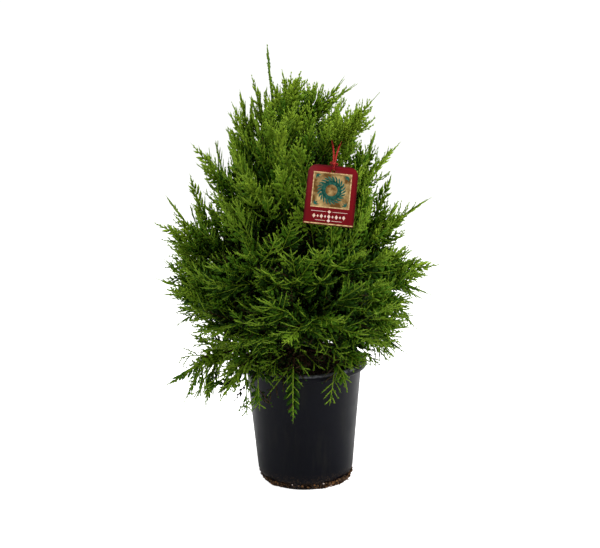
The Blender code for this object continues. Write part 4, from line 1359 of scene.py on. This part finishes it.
def makeCard():
    look, place = card, tagPlace
    deselectAll()
    bpy.ops.mesh.primitive_plane_add(size=1, location=(0, 0, 0))
    body = bpy.context.object
    body.scale = (place["width"], place["height"], 1)
    applyPlace(body)
    bpy.ops.object.mode_set(mode="EDIT")
    for above, radius in ((True, place["topRound"]), (False, place["bottomRound"])):
        pick(body, "VERT", lambda middle, corners: (middle.y > 0) == above
             and abs(middle.y) > place["height"] * 0.49)
        bpy.ops.mesh.bevel(offset=radius, offset_type="OFFSET", segments=9, affect="VERTICES")
    bpy.ops.mesh.select_all(action="SELECT")
    bpy.ops.mesh.extrude_region_move(TRANSFORM_OT_translate={"value": (0, 0, place["thickness"])})
    facesOutwards()
    bpy.ops.transform.translate(value=(0, 0, -place["thickness"] / 2))
    bpy.ops.object.mode_set(mode="OBJECT")
    deselectAll()
    bpy.ops.mesh.primitive_cylinder_add(vertices=32, radius=place["holeRadius"], depth=0.01,
                                        location=(0, place["height"] / 2 - place["holeDown"], 0))
    punch = bpy.context.object
    cut = body.modifiers.new("hole", "BOOLEAN")
    cut.operation, cut.object, cut.solver = "DIFFERENCE", punch, "EXACT"
    soften = body.modifiers.new("edges", "BEVEL")
    soften.width, soften.segments, soften.limit_method = look["edgeRound"], 2, "ANGLE"
    applyModifiers(body)
    bpy.data.objects.remove(punch)
    body.matrix_world = tagFrame()
    applyPlace(body)
    body.name = "tagCard"
    paper = makeTagFinish("tagCrimson", look["crimson"], look["crimsonWorn"], 130.0, bordered=True)
    finished(body, paper, "tag", "tag", angle=30)


def wreathLeaves():
    # a wreath of two rings of leaves, with a sprig in each corner
    look = card
    left, bottom, right, top = look["panel"]
    middle = ((left + right) / 2, (bottom + top) / 2)
    leaves = []
    for ring, (radius, count, length) in enumerate(look["wreath"]):
        for number in range(count):
            turn = 360 * (number + 0.5 * ring) / count
            x = middle[0] + radius * math.cos(math.radians(turn))
            y = middle[1] + radius * math.sin(math.radians(turn))
            leaves += [leafOutline(x, y, turn + 90 + lean, length, look["leafWidth"])
                       for lean in look["wreathLeans"]]
    for across in (-1, 1):
        for tall in (-1, 1):
            x, y = middle[0] + across * look["corner"][0], middle[1] + tall * look["corner"][1]
            inwards = math.degrees(math.atan2(-tall, -across))
            leaves += [leafOutline(x, y, inwards + lean, *look["sprigLeaf"]) for lean in look["sprigLeans"]]
    return leaves


def paleMarks():
    # rules and lozenges under the panel
    look = card
    marks = []
    gap, thick = look["ruleGap"], look["ruleWide"]
    for y, half in look["rules"]:
        marks += [box2d(-half, y, -gap, y + thick), box2d(gap, y, half, y + thick),
                  lozenge(0.0, y + 0.0003, *look["ruleLozenge"])]
    count, step, y = look["lozenges"]
    for number in range(count):
        size = look["lozengeSizes"][number % 2]
        marks.append(lozenge(step * (number - (count - 1) / 2), y, size * 0.7, size))
    return marks


def makeTag():
    look, place = card, tagPlace
    makeCard()
    inks = [makeTagFinish(name, look[colour], look[other], scale)
            for name, (colour, other, scale) in look["inks"].items()]
    left, bottom, right, top = look["panel"]
    wide = look["frameWide"]
    side, foot, rim = look["footRule"]
    halfWidth, halfHeight = place["width"] / 2, place["height"] / 2
    layers = [
        [box2d(left, bottom, right, top),
         box2d(side - halfWidth, foot - halfHeight, halfWidth - side, rim - halfHeight)],
        [box2d(left + wide, bottom + wide, right - wide, top - wide)], wreathLeaves(), paleMarks()]
    face = place["thickness"] / 2 + look["proud"]
    prints = [flatShapes("print", outlines, face + look["proud"] * layer, inks, [layer] * len(outlines))
              for layer, outlines in enumerate(layers)]
    ridesOn(joined("tagPrint", prints), "tag")
    print("stage 6: tag")


# Cord

cord = {
    "plyRadius": 0.00062,
    "plyOffset": 0.00056,
    "turnEvery": 0.0042,  # length of one full twist
    "ringSide": ((0.0, 0.0004), (0.0011, 0.0007), (0.0020, 0.0022), (0.0021, 0.0045), (0.0018, 0.0070)),
    "ringEnds": 0.0007,  # where the ring through the hole meets the knot
    "knotUp": 0.0160,
    "knotWidths": (1.25, 0.8),  # across and to the front, in bulges
    "knotBulge": (0.0027, 0.0009),
    "knotHeight": 0.0013,
    "stemShare": 0.5676,  # of the stem that it is tied round
    "stemRadius": 0.001284,
    "seat": 0.0012,  # from that stem's bark to the middle of the cord
    "spread": (0.0009, 0.0055),  # half widths of the loop, at the knot and at the stem
    "red": (0.480, 0.010, 0.005),
    "redDark": (0.085, 0.006, 0.003),
    "fleck": (0.62, 0.30, 0.26),
}


def smoothLine(points, gap):
    # evenly spaced points on a smooth curve through the given ones
    points = [Vector(point) for point in points]
    dense = []
    for number in range(len(points) - 1):
        before = points[max(0, number - 1)]
        a, b = points[number], points[number + 1]
        after = points[min(len(points) - 1, number + 2)]
        for step in range(12):
            t = step / 12
            dense.append(0.5 * (2 * a + (b - before) * t + (2 * before - 5 * a + 4 * b - after) * t * t
                                + (3 * a - before - 3 * b + after) * t**3))
    dense.append(points[-1])
    dense = np.array([tuple(point) for point in dense])
    lengths = np.concatenate([[0], np.cumsum(np.linalg.norm(np.diff(dense, axis=0), axis=1))])
    even = np.linspace(0, lengths[-1], max(4, int(lengths[-1] / gap)))
    return np.stack([np.interp(even, lengths, dense[:, axis]) for axis in range(3)], axis=1), even


def twistedPair(bundle, line):
    # two plies round each other along the line
    look = cord
    points, along = smoothLine(line, 0.00032)
    forward = unit(np.gradient(points, axis=0))
    side = np.cross(forward[0], (0.3, 0.5, 0.8))
    sides = []
    for direction in forward:  # the side vector is carried along without twist
        side = side - direction * float(side @ direction)
        side /= np.linalg.norm(side)
        sides.append(side)
    sides = np.array(sides)
    over = np.cross(forward, sides)
    for ply in range(2):
        turn = (2 * np.pi * along / look["turnEvery"] + np.pi * ply)[:, None]
        centre = points + look["plyOffset"] * (sides * np.cos(turn) + over * np.sin(turn))
        tubeThrough(bundle, centre, np.full(len(centre), look["plyRadius"]), 6, 0)


def makeCordFinish():
    look = cord
    red = Finish("cordRed", look["red"], 0.7, 0.25)
    fibres, mask = red.mottle(900.0, 0.35, 0.65, look["redDark"], look["red"])
    flecks = red.mottle(620.0, 0.66, 0.72, fibres, look["fleck"])[0]
    return red.cover(flecks, mask, (0.85, 0.65), (2600.0, 0.7, 0.0003))


def ringLine(hole, knot, rise, front):
    # from the knot down the front of the card, through its hole and up behind it
    look = cord
    ahead = [hole + front * away + rise * up for away, up in look["ringSide"]]
    behind = [hole - front * away + rise * up for away, up in look["ringSide"][1:]]
    end = front * look["ringEnds"]
    return [knot + end, *ahead[::-1], *behind, knot - end]


def loopLine(hole, across, up, length):
    # from the knot up, over the stem and back
    look = cord
    start, end = look["spread"]
    rising = []
    for step in range(6):
        share = step / 5
        rising.append((start + (end - start) * share**1.8,
                       look["knotUp"] + (length - look["knotUp"]) * share))
    seat = look["stemRadius"] + look["seat"]
    over = [(end * math.cos(math.pi * i / 6), length + seat * math.sin(math.pi * i / 6)) for i in range(1, 6)]
    return [hole + across * x + up * z for x, z in rising + over + [(-x, z) for x, z in rising[::-1]]]


def knotLine(knot, across, up, front):
    # an overhand knot: a small ring of cord wound tight over itself
    look = cord
    (wide, deep), (bulge, swell) = look["knotWidths"], look["knotBulge"]
    line = []
    for step in range(25):
        turn = 2 * math.pi * step / 24
        size = bulge + swell * math.cos(3 * turn)
        line.append(knot + across * (wide * size * math.cos(2 * turn))
                    + front * (deep * size * math.sin(2 * turn))
                    + up * (look["knotHeight"] * math.sin(3 * turn)))
    return line


def makeCord():
    look = cord
    hole = Vector(tagPlace["hole"])
    tied = next(plume for plume in plumes if plume["name"] == "shoulder_right")
    way = linePoint(tied["line"], look["stemShare"]) - hole
    up = way.normalized()
    across = Vector((0, -1, 0)).cross(up).normalized()
    place = tagFrame()
    rise, front = place.col[1].xyz, place.col[2].xyz
    knot = hole + up * look["knotUp"]
    bundle = Bundle()
    twistedPair(bundle, ringLine(hole, knot, rise, front))
    twistedPair(bundle, loopLine(hole, across, up, way.length))
    twistedPair(bundle, knotLine(knot, across, up, front))
    string = bundle.piece("tagString", [makeCordFinish()])
    string.data.shade_smooth()
    ridesOn(string, "cord", "tag_cord")
    print("stage 7: cord,", len(string.data.polygons), "faces")


# Camera, light and floor

studio = {
    "cameraPlace": (-0.0025, -1.2, 0.520),
    "lookDown": 11.77,
    "cameraRoll": -1.12,
    "lens": 57.4,
    "sensor": 36.0,
    "skyLight": 0.32,
    "skySeen": 1.05,  # as the camera sees it
    "floorSize": 12,
    "floorColour": (0.90, 0.90, 0.90),
    "floorGlow": 0.74,
    "lights": {  # place, target, size and power
        "key": ((-0.7, -1.2, 2.1), (0, 0, 0.25), (1.2, 0.9), 10),
        "fill": ((1.5, -0.35, 1.1), (0, 0, 0.30), (0.7, 1.4), 28),
        "left": ((-1.5, 0.0, 1.1), (0, 0, 0.3), (0.5, 1.2), 11),
        "top": ((0.1, 0.3, 2.1), (0, 0, 0.2), (1.4, 1.4), 30),
    },
}


def areaLight(name, place, target, size, power):
    data = bpy.data.lights.new(name, "AREA")
    data.shape = "RECTANGLE"
    data.size, data.size_y = size
    data.energy = power
    lamp = bpy.data.objects.new(name, data)
    bpy.context.scene.collection.objects.link(lamp)
    lamp.location = place
    lamp.rotation_euler = (Vector(target) - Vector(place)).to_track_quat("-Z", "Y").to_euler()
    return lamp


def makeCamera():
    look = studio
    camera = bpy.data.cameras.new("camera")
    camera.sensor_width = look["sensor"]
    camera.lens = look["lens"]
    camera.clip_start = 0.01
    eye = bpy.data.objects.new("camera", camera)
    bpy.context.scene.collection.objects.link(eye)
    eye.matrix_world = (Matrix.Translation(look["cameraPlace"])
                        @ Matrix.Rotation(math.radians(90 - look["lookDown"]), 4, "X")
                        @ Matrix.Rotation(math.radians(look["cameraRoll"]), 4, "Z"))
    bpy.context.scene.camera = eye


def makeFloor():
    # a plain floor that glows as the camera sees it, but lights nothing
    look = studio
    bpy.ops.mesh.primitive_plane_add(size=look["floorSize"], location=(0, 0, 0))
    floor = bpy.context.object
    floor.name = "floor"
    white = plainMaterial("floorWhite", look["floorColour"], 0.9, 0.0)
    tree = white.node_tree
    seen = addNode(tree, "ShaderNodeLightPath").outputs["Is Camera Ray"]
    glow = addNode(tree, "ShaderNodeMath", {"operation": "MULTIPLY"})
    feedSocket(tree, glow.inputs[0], seen)
    feedSocket(tree, glow.inputs[1], look["floorGlow"])
    shader = tree.nodes["Principled BSDF"]
    feedSocket(tree, shader.inputs["Emission Color"], (1, 1, 1))
    feedSocket(tree, shader.inputs["Emission Strength"], glow.outputs["Value"])
    floor.data.materials.append(white)


def makeSky():
    look = studio
    world = bpy.data.worlds.new("studio")
    bpy.context.scene.world = world
    world.use_nodes = True
    tree = world.node_tree
    seen = addNode(tree, "ShaderNodeLightPath").outputs["Is Camera Ray"]
    strength = addNode(tree, "ShaderNodeMapRange", Value=seen,
                       To_Min=look["skyLight"], To_Max=look["skySeen"])
    back = tree.nodes["Background"]
    feedSocket(tree, back.inputs["Color"], (1, 1, 1))
    feedSocket(tree, back.inputs["Strength"], strength.outputs["Result"])


def makeStudio():
    makeCamera()
    makeFloor()
    makeSky()
    for name, values in studio["lights"].items():
        areaLight(name, *values)
    bpy.context.scene.view_settings.view_transform = "Standard"
    print("stage 8: studio")


makeFoliage()
makeWood()
makePot()
makeSoil()
makeTag()
makeCord()
makeStudio()
